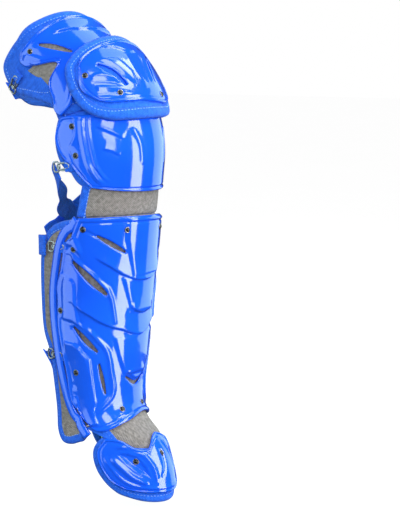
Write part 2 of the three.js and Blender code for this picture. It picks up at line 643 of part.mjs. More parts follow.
for (const hook of HOOKS) {
  const geometry = wireRing(HOOK_LENGTH, HOOK_WIDTH, HOOK_WIRE);
  const height = layerHeight(hook.layer - 0.5) + HOOK_WIRE / 2;
  geometry.applyMatrix4(seat(hook.angle, hook.level, height, hook.turn));
  add(hook.name, geometry, 'chrome');
}

// A slider is a frame with a bar across its middle
function sliderFrame(width) {
  const window = (SLIDER_LENGTH - 3 * SLIDER_BAR) / 2;
  const through = 3 * SLIDER_THICKNESS;
  let body = solid(new THREE.BoxGeometry(SLIDER_LENGTH, width + 2 * SLIDER_BAR, SLIDER_THICKNESS));
  for (const side of [-1, 1]) {
    const hole = new THREE.BoxGeometry(window, width, through);
    hole.translate(side * (window + SLIDER_BAR) / 2, 0, 0);
    body = body.subtract(solid(hole));
  }
  return geometryOf(body).translate(0, 0, SLIDER_THICKNESS / 2);
}
for (const slider of SLIDERS) {
  const geometry = sliderFrame(slider.width);
  const height = layerHeight(slider.layer) - WEBBING_THICKNESS / 2 + CLEARANCE;
  geometry.applyMatrix4(seat(slider.angle, slider.level, height, slider.turn));
  add(slider.name, geometry, slider.name === 'ankle_buckle' ? 'chrome' : 'plastic');
}

// The rivets are low domes whose feet are cut to the face of the plate
function rivet() {
  const profile = [[0, -1], [1, -1], [1, 0.2], [0.7, 0.8], [0, 1]];
  const points = profile.map(([r, z]) => new THREE.Vector2(r * RIVET_RADIUS, z * RIVET_HEIGHT));
  return new THREE.LatheGeometry(points, RIVET_SIDES).rotateX(Math.PI / 2);
}
const RIVET_SETS = [
  ['shin', SHIN_RIVETS, rooms.shin_plate],
  ['knee', KNEE_RIVETS, rooms.lower_knee_plate],
  ['cap', CAP_RIVETS, rooms.knee_cap],
  ['thigh', THIGH_RIVETS, rooms.thigh_plate],
  ['toe', TOE_RIVETS, rooms.toe_plate],
];
for (const [plateName, places, room] of RIVET_SETS) {
  places.forEach(([angle, level], i) => {
    const geometry = rivet().applyMatrix4(seat(angle, level, room.outer(angle, level) + CLEARANCE, 0));
    add(`${plateName}_rivet_${i + 1}`, geometryOf(solid(geometry).subtract(room.body)), 'plastic');
  });
}

export default group;
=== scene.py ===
import math

import bmesh
import bpy
import numpy as np
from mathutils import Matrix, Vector


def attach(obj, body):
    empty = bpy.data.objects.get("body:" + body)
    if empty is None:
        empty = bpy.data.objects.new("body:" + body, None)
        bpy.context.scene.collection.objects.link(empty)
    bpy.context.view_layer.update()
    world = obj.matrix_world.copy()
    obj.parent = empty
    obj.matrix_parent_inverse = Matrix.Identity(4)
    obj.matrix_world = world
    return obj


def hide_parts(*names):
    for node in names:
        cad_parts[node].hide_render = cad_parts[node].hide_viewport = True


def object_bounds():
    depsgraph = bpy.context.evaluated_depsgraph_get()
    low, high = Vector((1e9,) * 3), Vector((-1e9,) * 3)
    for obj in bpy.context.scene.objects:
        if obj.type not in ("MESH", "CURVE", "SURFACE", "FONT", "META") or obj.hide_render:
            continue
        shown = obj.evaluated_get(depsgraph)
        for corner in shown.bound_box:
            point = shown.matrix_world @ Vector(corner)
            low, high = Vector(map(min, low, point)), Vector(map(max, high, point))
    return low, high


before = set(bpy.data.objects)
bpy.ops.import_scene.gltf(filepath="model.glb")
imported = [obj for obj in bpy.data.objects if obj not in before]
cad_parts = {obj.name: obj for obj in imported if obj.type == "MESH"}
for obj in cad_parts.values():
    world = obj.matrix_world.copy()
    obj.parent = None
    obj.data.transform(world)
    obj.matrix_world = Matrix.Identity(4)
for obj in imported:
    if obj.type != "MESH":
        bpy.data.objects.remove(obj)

cad_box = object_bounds()

# Camera, floor and studio
# The guard stands in the left part of the picture, seen from its front and outer side. Lengths in
# this section are metres. Tall softboxes stand round it, and their reflections draw the highlights.
VIEW_AZIMUTH = math.radians(-52)
VIEW_ELEVATION = math.radians(6.5)
VIEW_DISTANCE = 2.4
VIEW_TARGET = Vector((0, 0, 0.057))
VIEW_LENS = 135.8
VIEW_SHIFT = 0.187


def toward(azimuth, elevation, distance):
    flat = distance * math.cos(elevation)
    return Vector((flat * math.sin(azimuth), -flat * math.cos(azimuth), distance * math.sin(elevation)))


camera = bpy.data.objects.new("camera", bpy.data.cameras.new("camera"))
bpy.context.scene.collection.objects.link(camera)
camera.location = VIEW_TARGET + toward(VIEW_AZIMUTH, VIEW_ELEVATION, VIEW_DISTANCE)
camera.rotation_euler = (VIEW_TARGET - camera.location).to_track_quat("-Z", "Y").to_euler()
camera.data.sensor_width = 36
camera.data.lens = VIEW_LENS
camera.data.shift_x = VIEW_SHIFT
bpy.context.scene.camera = camera

# name, azimuth and elevation in degrees, distance, width, height, watts
SOFTBOXES = [
    ("front_strip", 4, 2, 2.2, 1.0, 2.4, 52),
    ("inner_softbox", 72, 8, 2.2, 1.8, 2.0, 17),
    ("outer_rear_softbox", -132, 5, 2.2, 1.8, 2.2, 22),
    ("inner_rear_softbox", 150, 18, 2.3, 1.3, 1.6, 9),
    ("high_softbox", -40, 48, 2.2, 1.2, 0.5, 9),
    ("camera_softbox", -51, 23, 2.3, 0.9, 0.8, 12),
    ("top_front_softbox", 22, 54, 2.2, 1.1, 0.7, 16),
    ("top_softbox", 60, 68, 2.0, 1.4, 1.0, 8),
    ("camera_fill", -47, 11, 2.6, 0.8, 0.8, 14),
    ("rear_fill", 128, 16, 2.4, 1.2, 1.2, 16),
]
COOL = ("inner_softbox", "outer_rear_softbox", "inner_rear_softbox", "top_softbox")
DIFFUSE_ONLY = ("camera_fill", "rear_fill")
for name, azimuth, elevation, distance, width, height, watts in SOFTBOXES:
    data = bpy.data.lights.new(name, "AREA")
    data.shape = "RECTANGLE"
    data.size = width
    data.size_y = height
    data.energy = watts
    if name in COOL:
        data.color = (0.72, 1.0, 1.0)
    lamp = bpy.data.objects.new(name, data)
    lamp.visible_glossy = name not in DIFFUSE_ONLY
    lamp.visible_camera = False
    bpy.context.scene.collection.objects.link(lamp)
    lamp.location = VIEW_TARGET + toward(math.radians(azimuth), math.radians(elevation), distance)
    lamp.rotation_euler = (VIEW_TARGET - lamp.location).to_track_quat("-Z", "Y").to_euler()

class Tree:
    """A node tree under construction: node() makes one, and links any socket given as an input."""

    def __init__(self, tree):
        self.tree = tree

    def link(self, source, target):
        self.tree.links.new(source, target)

    def node(self, kind, inputs=None, **settings):
        made = self.tree.nodes.new(kind)
        for key, value in settings.items():
            setattr(made, key, value)
        for key, value in (inputs or {}).items():
            if isinstance(value, bpy.types.NodeSocket):
                self.link(value, made.inputs[key])
            else:
                made.inputs[key].default_value = value
        return made

    def math(self, operation, a, b=0.0):
        return self.node("ShaderNodeMath", {0: a, 1: b}, operation=operation).outputs[0]


def finish(name, **sockets):
    """A new material: its tree, and its shader with the constant values given."""
    material = bpy.data.materials.new(name)
    material.use_nodes = True
    shader = material.node_tree.nodes["Principled BSDF"]
    for key, value in sockets.items():
        shader.inputs[key.replace("_", " ")].default_value = value
    return material, Tree(material.node_tree), shader


def tones(tree, factor, dark, light, low=0.3, high=0.7):
    """A colour between two tones, by a factor."""
    ramp = tree.node("ShaderNodeValToRGB", {"Fac": factor})
    ramp.color_ramp.elements[0].position = low
    ramp.color_ramp.elements[1].position = high
    ramp.color_ramp.elements[0].color = (*dark, 1)
    ramp.color_ramp.elements[1].color = (*light, 1)
    return ramp.outputs["Color"]


# The world is white to the camera, grey as a lamp and nearly black in reflections
WHITE = (1, 1, 1, 1)
SKY_LIGHT = 0.52
SKY_IN_GLOSS = 0.06
bpy.context.scene.view_settings.view_transform = "Standard"
world = bpy.data.worlds.new("studio")
bpy.context.scene.world = world
world.use_nodes = True
air = Tree(world.node_tree)
seen = air.node("ShaderNodeLightPath")
dimmed = air.node("ShaderNodeMapRange", {"Value": seen.outputs["Is Glossy Ray"], "To Min": SKY_LIGHT,
                                         "To Max": SKY_IN_GLOSS})
sky = world.node_tree.nodes["Background"]
sky.inputs["Color"].default_value = WHITE
air.link(dimmed.outputs[0], sky.inputs["Strength"])
bright = air.node("ShaderNodeBackground", {"Color": WHITE, "Strength": 1.0})
blend = air.node("ShaderNodeMixShader", {0: seen.outputs["Is Camera Ray"], 1: sky.outputs[0],
                                         2: bright.outputs[0]})
air.link(blend.outputs[0], world.node_tree.nodes["World Output"].inputs["Surface"])

FLOOR_GAP = 0.012
FLOOR_REACH = 14.0
FLOOR_GLOW = 0.88
floor_z = cad_box[0][2] - FLOOR_GAP
floor_mesh = bpy.data.meshes.new("floor")
floor_mesh.from_pydata([(x * FLOOR_REACH, y * FLOOR_REACH, floor_z)
                        for x, y in ((-1, -1), (1, -1), (1, 1), (-1, 1))], [], [(0, 1, 2, 3)])
floor = bpy.data.objects.new("floor", floor_mesh)
bpy.context.scene.collection.objects.link(floor)
floor.visible_glossy = False
paper, tree, shader = finish("pale_paper", Roughness=0.9, Specular_IOR_Level=0.1, Emission_Color=WHITE)
own = tree.node("ShaderNodeTexCoord")
mottle = tree.node("ShaderNodeTexNoise", {"Vector": own.outputs["Object"], "Scale": 3})
tree.link(tones(tree, mottle.outputs["Fac"], (0.2, 0.2, 0.2), (0.22, 0.22, 0.22), 0, 1),
          shader.inputs["Base Color"])
seen = tree.node("ShaderNodeLightPath")
tree.link(tree.math("MULTIPLY", seen.outputs["Is Camera Ray"], FLOOR_GLOW),
          shader.inputs["Emission Strength"])
floor_mesh.materials.append(paper)

# Shin liner
# The padded lining over the shin, black and slippery inside with grey air mesh on its face, where
# the plate's slots show it. From here on lengths are millimetres, made metres as a mesh is made.
# It also sets out the leg surface that every piece lies on: an angle round the leg (0 in front,
# positive to the inner side) and a level (-1 toe tip, 0 mid shin, 1 knee, 2 thigh rim).
MM = 0.001
FOOT_DROP = 250
KNEE_HEIGHT = 177
THIGH_RUN = 173
KNEE_RADIUS = 120
KNEE_BEND = math.radians(41)
CALF_HALF_WIDTH = 61
SHIN_DEPTH = 52
CALF_DEPTH = 78
CALF_SQUARENESS = 0.6
PAD_THICKNESS = 8

# The leg's cross-sections: level, then half width, depth in front and depth behind as shares of
# CALF_HALF_WIDTH, SHIN_DEPTH and CALF_DEPTH
SECTIONS = np.array([
    (-1.0, 0.85, 1.96, 0.77), (-0.86, 0.85, 1.9, 0.76), (-0.76, 0.85, 1.75, 0.78),
    (-0.66, 0.84, 1.52, 0.8), (-0.59, 0.82, 1.12, 0.8), (-0.5, 0.84, 0.8, 0.81),
    (-0.24, 0.93, 0.87, 0.92), (0.0, 1.0, 1.0, 1.0), (0.34, 1.03, 1.15, 1.0),
    (0.57, 1.05, 1.23, 0.95), (0.85, 1.05, 1.35, 0.87), (1.13, 1.08, 1.42, 0.82),
    (1.48, 1.08, 1.35, 0.82), (1.77, 1.05, 1.19, 0.87), (2.12, 1.02, 1.12, 0.92),
])


def reach(level):
    level = np.asarray(level, float)
    low = np.minimum(level, 0) * FOOT_DROP
    middle = np.clip(level, 0, 1) * KNEE_HEIGHT
    return low + middle + np.maximum(level - 1, 0) * THIGH_RUN


def hermite(t, a, b, slope_a, slope_b):
    t2 = t * t
    t3 = t2 * t
    return (a * (2 * t3 - 3 * t2 + 1) + b * (3 * t2 - 2 * t3)
            + slope_a * (t3 - 2 * t2 + t) + slope_b * (t3 - t2))


def section(level, part):
    runs = reach(SECTIONS[:, 0])
    values = SECTIONS[:, part]
    before = np.r_[0, np.arange(len(runs) - 1)]
    after = np.r_[np.arange(1, len(runs)), len(runs) - 1]
    slopes = (values[after] - values[before]) / (runs[after] - runs[before])
    i = np.searchsorted(SECTIONS[1:-1, 0], level)
    span = runs[i + 1] - runs[i]
    t = np.clip((reach(level) - runs[i]) / span, 0, 1)
    return hermite(t, values[i], values[i + 1], slopes[i] * span, slopes[i + 1] * span)


def axis(level):
    run = reach(level)
    bent = np.clip(run - KNEE_HEIGHT, 0, KNEE_RADIUS * KNEE_BEND)
    above = np.maximum(run - KNEE_HEIGHT - KNEE_RADIUS * KNEE_BEND, 0)
    tilt = bent / KNEE_RADIUS
    y = KNEE_RADIUS * (1 - np.cos(tilt)) + above * np.sin(tilt)
    z = run - bent - above + KNEE_RADIUS * np.sin(tilt) + above * np.cos(tilt)
    return np.stack([0 * y, y, z], -1), tilt


def skin(angle, level):
    angle = np.asarray(angle, float)
    level = np.asarray(level, float)
    half = CALF_HALF_WIDTH * section(level, 1)
    front = SHIN_DEPTH * section(level, 2)
    rear = CALF_DEPTH * section(level, 3)
    side = np.sin(np.radians(angle))
    ahead = np.cos(np.radians(angle))
    square = np.sign(side) * np.abs(side) ** CALF_SQUARENESS
    across = half * np.where(ahead < 0, square, side)
    forward = np.where(ahead < 0, -rear * np.abs(ahead) ** CALF_SQUARENESS, front * ahead)
    centre, tilt = axis(level)
    return centre + np.stack([across, -np.cos(tilt) * forward, np.sin(tilt) * forward], -1)


def unit(vectors):
    return vectors / np.maximum(np.linalg.norm(vectors, axis=-1, keepdims=True), 1e-9)


def outward(angle, level):
    level = np.asarray(level, float)
    around = skin(angle + 1, level) - skin(angle - 1, level)
    along = skin(angle, level + 0.01) - skin(angle, level - 0.01)
    return unit(np.cross(around, along))


def place(angle, level, height):
    return skin(angle, level) + outward(angle, level) * np.asarray(height)[..., None]

def hops(points):
    """Distances from each point of a run to the next."""
    return np.linalg.norm(np.diff(points, axis=0), axis=1)


def follow(line, share):
    """The rows at shares of the length of a smooth line through rows of angle, level and more."""
    line = np.array(line, float)
    lengths = np.r_[0, np.cumsum(hops(np.stack([line[:, 0], reach(line[:, 1])], -1)))]
    wanted = np.asarray(share, float) * lengths[-1]
    i = np.searchsorted(lengths[1:-1], wanted) + 1
    last = len(line) - 1
    before = np.maximum(np.arange(len(line)) - 1, 0)
    after = np.minimum(np.arange(len(line)) + 1, last)
    slopes = (line[after] - line[before]) / (lengths[after] - lengths[before])[:, None]
    span = (lengths[i] - lengths[i - 1])[..., None]
    t = ((wanted - lengths[i - 1]) / span[..., 0])[..., None]
    return hermite(t, line[i - 1], line[i], slopes[i - 1] * span, slopes[i] * span)


def within(outline, u, v):
    """The angle and level at shares u, v of an outline whose four sides are smooth lines."""
    top, bottom = outline["top"], outline["bottom"]
    left = [bottom[0], *outline.get("left", ()), top[0]]
    right = [bottom[-1], *outline.get("right", ()), top[-1]]
    b, t, l, r = follow(bottom, u), follow(top, u), follow(left, v), follow(right, v)
    u = np.asarray(u)[..., None]
    v = np.asarray(v)[..., None]
    corners = ((1 - u) * (1 - v) * np.array(left[0]) + u * (1 - v) * np.array(right[0])
               + (1 - u) * v * np.array(top[0]) + u * v * np.array(top[-1]))
    spot = (1 - v) * b + v * t + (1 - u) * l + u * r - corners
    return spot[..., 0], spot[..., 1]


def spaced(length, step, rim):
    """Shares of a length about a step apart, and closer together within a rim at both ends."""
    count = max(int(round(length / step)), 2)
    even = np.linspace(0, length, count + 1)
    edge = rim * np.array([0.06, 0.2, 0.45, 0.75, 1.0])
    inner = even[(even > rim * 1.3) & (even < length - rim * 1.3)]
    return np.r_[0, edge, inner, (length - edge)[::-1], length] / length


def spans(outline, count):
    """The width and the height of an outline through its middle, measured at count places."""
    run = np.linspace(0, 1, count)
    middle = np.full(count, 0.5)
    return [hops(skin(*within(outline, u, v))).sum() for u, v in ((run, middle), (middle, run))]


def field(outline, step, rim):
    """A grid of places over an outline, with each place's distance from the rim."""
    wide, tall = spans(outline, 60)
    u, v = np.meshgrid(spaced(wide, step, rim), spaced(tall, step, rim))
    angle, level = within(outline, u, v)
    points = skin(angle, level)
    distance = np.full(angle.shape, 1e9)
    for direction in (0, 1):
        steps = np.linalg.norm(np.diff(points, axis=direction), axis=-1)
        start = np.zeros_like(np.take(steps, [0], axis=direction))
        run = np.concatenate([start, np.cumsum(steps, axis=direction)], axis=direction)
        total = np.take(run, [-1], axis=direction)
        distance = np.minimum(distance, np.minimum(run, total - run))
    return angle, level, distance


def rounding(distance, radius):
    """From a small share at the rim to 1 at a radius from it, as a rounded edge rises."""
    share = np.clip(distance / radius, 0, 1)
    return 0.25 + 0.75 * np.sqrt(1 - (1 - share) ** 2)


def grid_quads(shape):
    rows, wide = shape
    k = (np.arange(rows - 1)[:, None] * wide + np.arange(wide - 1)).ravel()
    return np.stack([k, k + 1, k + wide + 1, k + wide], -1)


def piece_of(name, points, faces, looks, slots=None, uv=None, smooth=True):
    """A finished object at the origin from points in millimetres and lists of corners."""
    mesh = bpy.data.meshes.new(name)
    mesh.from_pydata((np.asarray(points) * MM).tolist(), [], faces)
    for look in looks:
        mesh.materials.append(look)
    if slots is not None:
        mesh.polygons.foreach_set("material_index", np.asarray(slots, dtype=np.int32))
    mesh.polygons.foreach_set("use_smooth", [smooth] * len(mesh.polygons))
    if uv is not None:
        corner = np.empty(len(mesh.loops), dtype=np.int32)
        mesh.loops.foreach_get("vertex_index", corner)
        layer = mesh.uv_layers.new(name="surface")
        layer.data.foreach_set("uv", (np.asarray(uv) * MM)[corner].ravel())
    mesh.update()
    item = bpy.data.objects.new(name, mesh)
    bpy.context.scene.collection.objects.link(item)
    return item


def reworked(item, change):
    """An object whose mesh has gone through one bmesh operation."""
    form = bmesh.new()
    form.from_mesh(item.data)
    change(form)
    form.to_mesh(item.data)
    form.free()
    return item


def walled(name, outer, inner, quads, looks, uv, pierced=False):
    """A closed body between two skins that share one set of faces. looks: face, back, rim."""
    count = len(outer)
    starts = np.concatenate([np.asarray(face) for face in quads])
    ends = np.concatenate([np.roll(np.asarray(face), -1) for face in quads])
    forward = starts * count + ends
    open_edges = ~np.isin(forward, ends * count + starts)
    rims = [(int(b), int(a), int(a) + count, int(b) + count) for a, b in
            zip(starts[open_edges], ends[open_edges])]
    faces = [tuple(int(k) for k in face) for face in quads]
    backs = [tuple(k + count for k in reversed(face)) for face in faces]
    slots = [0] * len(faces) + [1] * len(backs) + [2] * len(rims)
    both = np.concatenate([outer, inner])
    item = piece_of(name, both, faces + backs + rims, looks, slots, np.concatenate([uv, uv]))
    if pierced:
        reworked(item, lambda form: bmesh.ops.delete(
            form, geom=[v for v in form.verts if not v.link_faces], context="VERTS"))
    return item


ARC_RADIUS = 60


def surface_uv(angle, level):
    return np.stack([np.radians(angle).ravel() * ARC_RADIUS, reach(level).ravel()], -1)


def pad(name, outline, high, low, looks, step=2.6, rim=5.0, crown=3.0):
    """A padded body whose faces draw in towards its rim. high and low may depend on the angle."""
    angle, level, distance = field(outline, step, rim)
    top = high(angle) if callable(high) else high
    base = low(angle) if callable(low) else low
    middle = (top + base) / 2
    full = rounding(distance, rim) * (1 - 0.25 * np.exp(-distance / (2 * crown)))
    outer = place(angle, level, middle + (top - middle) * full)
    inner = place(angle, level, middle - (middle - base) * full)
    quads = grid_quads(angle.shape)
    return walled(name, outer.reshape(-1, 3), inner.reshape(-1, 3), quads, looks, surface_uv(angle, level))


def effect(name, inputs, outputs, kind="ShaderNodeTree"):
    """An empty node group with named inputs (name, kind, value) and outputs (name, kind)."""
    group = bpy.data.node_groups.new(name, kind)
    for label, kind, value in inputs:
        made = group.interface.new_socket(label, in_out="INPUT", socket_type=kind)
        if value is not None:
            made.default_value = value
    for label, kind in outputs:
        group.interface.new_socket(label, in_out="OUTPUT", socket_type=kind)
    tree = Tree(group)
    return tree, tree.node("NodeGroupInput"), tree.node("NodeGroupOutput")


# Two crossing sets of threads on a surface's own map
weave, weave_in, weave_out = effect(
    "cloth_weave", [("Map", "NodeSocketVector", None), ("Threads", "NodeSocketFloat", 900.0),
                    ("Slant", "NodeSocketFloat", 0.0)],
    [("Height", "NodeSocketFloat"), ("Shade", "NodeSocketFloat")])
parts = weave.node("ShaderNodeSeparateXYZ", {0: weave_in.outputs["Map"]})
slanted = weave.math("ADD", parts.outputs[0],
                     weave.math("MULTIPLY", parts.outputs[1], weave_in.outputs["Slant"]))
across = weave.math("SINE", weave.math("MULTIPLY", slanted, weave_in.outputs["Threads"]))
upward = weave.math("SINE", weave.math("MULTIPLY", parts.outputs[1], weave_in.outputs["Threads"]))
crossing = weave.math("MULTIPLY", across, upward)
weave.link(weave.math("MULTIPLY_ADD", crossing, 0.5), weave_out.inputs["Height"])
mottle = weave.node("ShaderNodeTexNoise", {"Vector": weave_in.outputs["Map"], "Scale": 260.0, "Detail": 4.0})
weave.link(weave.math("ADD", mottle.outputs["Fac"], weave.math("MULTIPLY", crossing, 0.12)),
                     weave_out.inputs["Shade"])

# Staggered rows of small slanting dimples, 0 on the cloth and 1 in a dimple
dimples, dimples_in, dimples_out = effect(
    "dimple_rows", [("Map", "NodeSocketVector", None), ("Across", "NodeSocketFloat", 0.0135),
                    ("Up", "NodeSocketFloat", 0.0105), ("Size", "NodeSocketFloat", 0.2)],
    [("Mask", "NodeSocketFloat")])
parts = dimples.node("ShaderNodeSeparateXYZ", {0: dimples_in.outputs["Map"]})
row_at = dimples.math("DIVIDE", parts.outputs[1], dimples_in.outputs["Up"])
row = dimples.math("FLOOR", row_at)
shifted = dimples.math("MULTIPLY", dimples.math("MODULO", row, 2.0), 0.5)
slot_at = dimples.math("ADD", dimples.math("DIVIDE", parts.outputs[0], dimples_in.outputs["Across"]), shifted)
from_row = dimples.math("SUBTRACT", dimples.math("FRACT", row_at), 0.5)
from_slot = dimples.math("SUBTRACT", dimples.math("FRACT", slot_at), 0.5)
leaning = dimples.math("ADD", from_slot, dimples.math("MULTIPLY", from_row, 0.6))
wide_part = dimples.math("POWER", dimples.math("DIVIDE", dimples.math("ABSOLUTE", leaning), 0.55), 2.0)
tall_part = dimples.math("POWER", dimples.math("ABSOLUTE", from_row), 2.0)
gap = dimples.math("SQRT", dimples.math("ADD", dimples.math("MULTIPLY", wide_part, 1.6), tall_part))
fall = dimples.node("ShaderNodeMapRange", {"Value": gap, "From Min": dimples_in.outputs["Size"],
                                           "From Max": 0.32, "To Min": 1.0, "To Max": 0.0})
dimples.link(fall.outputs[0], dimples_out.inputs["Mask"])

# Slow change of tone over a surface, with fine grain on top of it
grain, grain_in, grain_out = effect(
    "surface_grain", [("Place", "NodeSocketVector", None), ("Broad", "NodeSocketFloat", 18.0),
                      ("Fine", "NodeSocketFloat", 900.0)],
    [("Tone", "NodeSocketFloat"), ("Grain", "NodeSocketFloat")])
broad = grain.node("ShaderNodeTexNoise", {
    "Vector": grain_in.outputs["Place"], "Scale": grain_in.outputs["Broad"], "Detail": 3.0})
fine = grain.node("ShaderNodeTexNoise", {
    "Vector": grain_in.outputs["Place"], "Scale": grain_in.outputs["Fine"], "Detail": 2.0})
grain.link(broad.outputs["Fac"], grain_out.inputs["Tone"])
grain.link(fine.outputs["Fac"], grain_out.inputs["Grain"])



def put_group(tree, group, **values):
    made = tree.node("ShaderNodeGroup", node_tree=group.tree)
    for key, value in values.items():
        if isinstance(value, bpy.types.NodeSocket):
            tree.link(value, made.inputs[key])
        else:
            made.inputs[key].default_value = value
    return made


def emboss(tree, shader, height, depth, strength=1.0):
    bump = tree.node("ShaderNodeBump", {"Height": height, "Distance": depth, "Strength": strength})
    tree.link(bump.outputs[0], shader.inputs["Normal"])


def cloth(name, dark, light, threads=2600.0, slant=0.0, roughness=0.85, depth=0.0004, sheen=0.12):
    material, tree, shader = finish(name, Roughness=roughness, Sheen_Weight=sheen, Specular_IOR_Level=0.25)
    own = tree.node("ShaderNodeUVMap", uv_map="surface")
    woven = put_group(tree, weave, Map=own.outputs[0], Threads=threads, Slant=slant)
    tree.link(tones(tree, woven.outputs["Shade"], dark, light), shader.inputs["Base Color"])
    emboss(tree, shader, woven.outputs["Height"], depth)
    return material


BINDING_BLUE = ((0.007, 0.1, 0.68), (0.02, 0.17, 0.92))
MESH_GREY = ((0.17, 0.16, 0.15), (0.36, 0.34, 0.32))
LINER_GREEN = ((0.46, 0.9, 0.34), (0.6, 1.0, 0.48))
# Painted shade: the darker green laid into each dimple of the green lining
DIMPLE_SHADE_GREEN = (0.16, 0.42, 0.13)
SLICK_BLACK = ((0.004, 0.004, 0.005), (0.012, 0.012, 0.013))
binding_tape = cloth("binding_tape", *BINDING_BLUE, threads=3600.0, slant=0.5)
grey_mesh = cloth("grey_air_mesh", *MESH_GREY, threads=3000.0, depth=0.0008, sheen=0.1)
black_liner = cloth("black_slick_lining", *SLICK_BLACK, threads=3000.0, roughness=0.6, sheen=0.1)

green_liner, tree, shader = finish("green_dimpled_lining", Roughness=0.82, Sheen_Weight=0.35,
                                   Specular_IOR_Level=0.25)
own = tree.node("ShaderNodeUVMap", uv_map="surface")
woven = put_group(tree, weave, Map=own.outputs[0], Threads=3400.0)
pressed = put_group(tree, dimples, Map=own.outputs[0])
cloth_tone = tones(tree, woven.outputs["Shade"], *LINER_GREEN)
# Inside each dimple the colour turns to a darker green, as painted shade in the dimple hollows; the bump below
# also sinks them
dimple_shaded_tone = tree.node("ShaderNodeMix", {"Factor": pressed.outputs["Mask"], "A": cloth_tone,
                                     "B": (*DIMPLE_SHADE_GREEN, 1)}, data_type="RGBA")
tree.link(dimple_shaded_tone.outputs["Result"], shader.inputs["Base Color"])
hollow = tree.math("SUBTRACT", tree.math("MULTIPLY", woven.outputs["Height"], 0.15), pressed.outputs["Mask"])
emboss(tree, shader, hollow, 0.0015)

SEAM = 0.6


def below(line):
    return [(angle, level - SEAM / (FOOT_DROP if level < 0 else KNEE_HEIGHT if level < 1 else THIGH_RUN))
            for angle, level in line]


NECK_BAND_FOOT = [(-84, 0.615), (-30, 0.63), (30, 0.625), (80, 0.6)]
SHIN_LINER = {
    "top": below(NECK_BAND_FOOT),
    "bottom": [(-84, -0.61), (-40, -0.54), (15, -0.51), (55, -0.55), (81, -0.61)],
}
shin_liner = pad("shin_liner", SHIN_LINER, 0, -PAD_THICKNESS, [grey_mesh, black_liner, binding_tape])
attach(shin_liner, "root")
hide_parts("shin_liner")

# Thigh, knee and toe linings, neck band and ankle gusset
# Foam pads with a dimpled green lining on the leg side. They are sewn to each other along their
# edges, the neck band is bare grey mesh in front, and the gusset lets the ankle flex.
BAND_THICKNESS = 6
THIGH_PAD = {
    "top": [(-98, 1.975), (-72, 2.02), (-49, 2.015), (-10, 1.985), (12, 1.93), (32, 1.85), (60, 1.825),
            (80, 1.795)],
    "bottom": [(-93, 1.33), (-60, 1.3), (0, 1.28), (50, 1.28), (81, 1.32)],
    "left": [(-93, 1.43), (-97, 1.54), (-109, 1.67), (-123, 1.77), (-126, 1.85), (-117, 1.94)],
    "right": [(87, 1.48), (82, 1.68)],
}
KNEE_PAD = {
    "top": below(THIGH_PAD["bottom"]),
    "bottom": [(-78, 0.835), (-30, 0.82), (30, 0.82), (79, 0.835)],
    "left": [(-88, 0.9), (-99, 1.02), (-101, 1.17)],
    "right": [(82, 1.0), (84, 1.15)],
}
NECK_BAND = {"top": below(KNEE_PAD["bottom"]), "bottom": NECK_BAND_FOOT}
ANKLE_GUSSET = {
    "top": below(SHIN_LINER["bottom"]),
    "bottom": [(-66, -0.65), (-40, -0.7), (0, -0.7), (40, -0.69), (81, -0.68)],
}
TOE_PAD = {
    "top": below(ANKLE_GUSSET["bottom"]),
    "bottom": [(-54, -0.925), (-28, -0.955), (6, -0.955), (30, -0.925), (58, -0.87), (81, -0.82)],
    "left": [(-67, -0.87), (-75, -0.8), (-76, -0.72)],
}
# name, outline, thickness, look of the front face, look of the leg side
LININGS = [
    ("thigh_pad", THIGH_PAD, PAD_THICKNESS, binding_tape, green_liner),
    ("knee_pad", KNEE_PAD, PAD_THICKNESS, binding_tape, green_liner),
    ("neck_band", NECK_BAND, BAND_THICKNESS, grey_mesh, green_liner),
    ("ankle_gusset", ANKLE_GUSSET, BAND_THICKNESS, grey_mesh, green_liner),
    ("toe_pad", TOE_PAD, PAD_THICKNESS, binding_tape, green_liner),
]
# Patches of another cloth set into a pad's face: name, top, bottom, look, slot. Grey mesh beside and
# behind the thigh plate, blue at the gusset's side, and green where the lining is turned out.
WINDOW_RAISED = 0.7
WINDOW_SUNK = 1.5
WINDOWS = [
    ("thigh_side_mesh", [(-93, 1.785), (-58, 1.7)], [(-87, 1.55), (-64, 1.57)], grey_mesh, "mesh"),
    ("thigh_slot_mesh", [(-76, 1.9), (-40, 1.76)], [(-76, 1.82), (-40, 1.6)], grey_mesh, "mesh"),
    ("toe_turned_lining", [(36, -0.71), (72, -0.705)], [(34, -0.885), (50, -0.85), (72, -0.8)],
     green_liner, "padding"),
    ("gusset_side", [(-82, -0.617), (-60, -0.578)], [(-66, -0.65), (-52, -0.682)], binding_tape, "binding"),
    ("wing_turned_lining", [(90, 0.75), (108, 0.67), (120, 0.56)], [(90, 0.615), (104, 0.565), (119, 0.515)],
     green_liner, "padding"),
]
for name, top, bottom, look, slot in WINDOWS:
    window = pad(name, {"top": top, "bottom": bottom}, WINDOW_RAISED, -WINDOW_SUNK, [look] * 3, step=2.0,
                 rim=0.8, crown=0.4)
    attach(window, "root")

for name, outline, thickness, face, back in LININGS:
    lining = pad(name, outline, 0, -thickness, [face, back, binding_tape])
    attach(lining, "root")
    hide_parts(name)

# Calf wings
# Two soft flaps of grey mesh over foam, lined with the green cloth, that wrap round the calf and
# reach down to the ankle bones. The inner one carries a bare oval patch of black leather.
WING_THICKNESS = 7
LATERAL_WING = {
    "top": [(-120, 0.42), (-104, 0.53), (-85, 0.6)],
    "bottom": [(-113, -0.62), (-104, -0.7), (-94, -0.705), (-85, -0.66)],
    "left": [(-114, -0.5), (-117, -0.24), (-128, -0.15), (-126, 0.0), (-125, 0.28)],
}
MEDIAL_WING = {
    "top": [(84, 0.79), (96, 0.76), (112, 0.63), (128, 0.46)],
    "bottom": [(84, -0.8), (100, -0.825), (118, -0.8), (131, -0.74)],
    "right": [(138, -0.66), (131, -0.55), (121, -0.36), (112, -0.21), (114, -0.1), (124, 0.1), (129, 0.3)],
}
for name, outline in (("lateral_wing", LATERAL_WING), ("medial_wing", MEDIAL_WING)):
    wing = pad(name, outline, 0, -WING_THICKNESS, [grey_mesh, green_liner, binding_tape])
    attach(wing, "root")
    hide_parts(name)

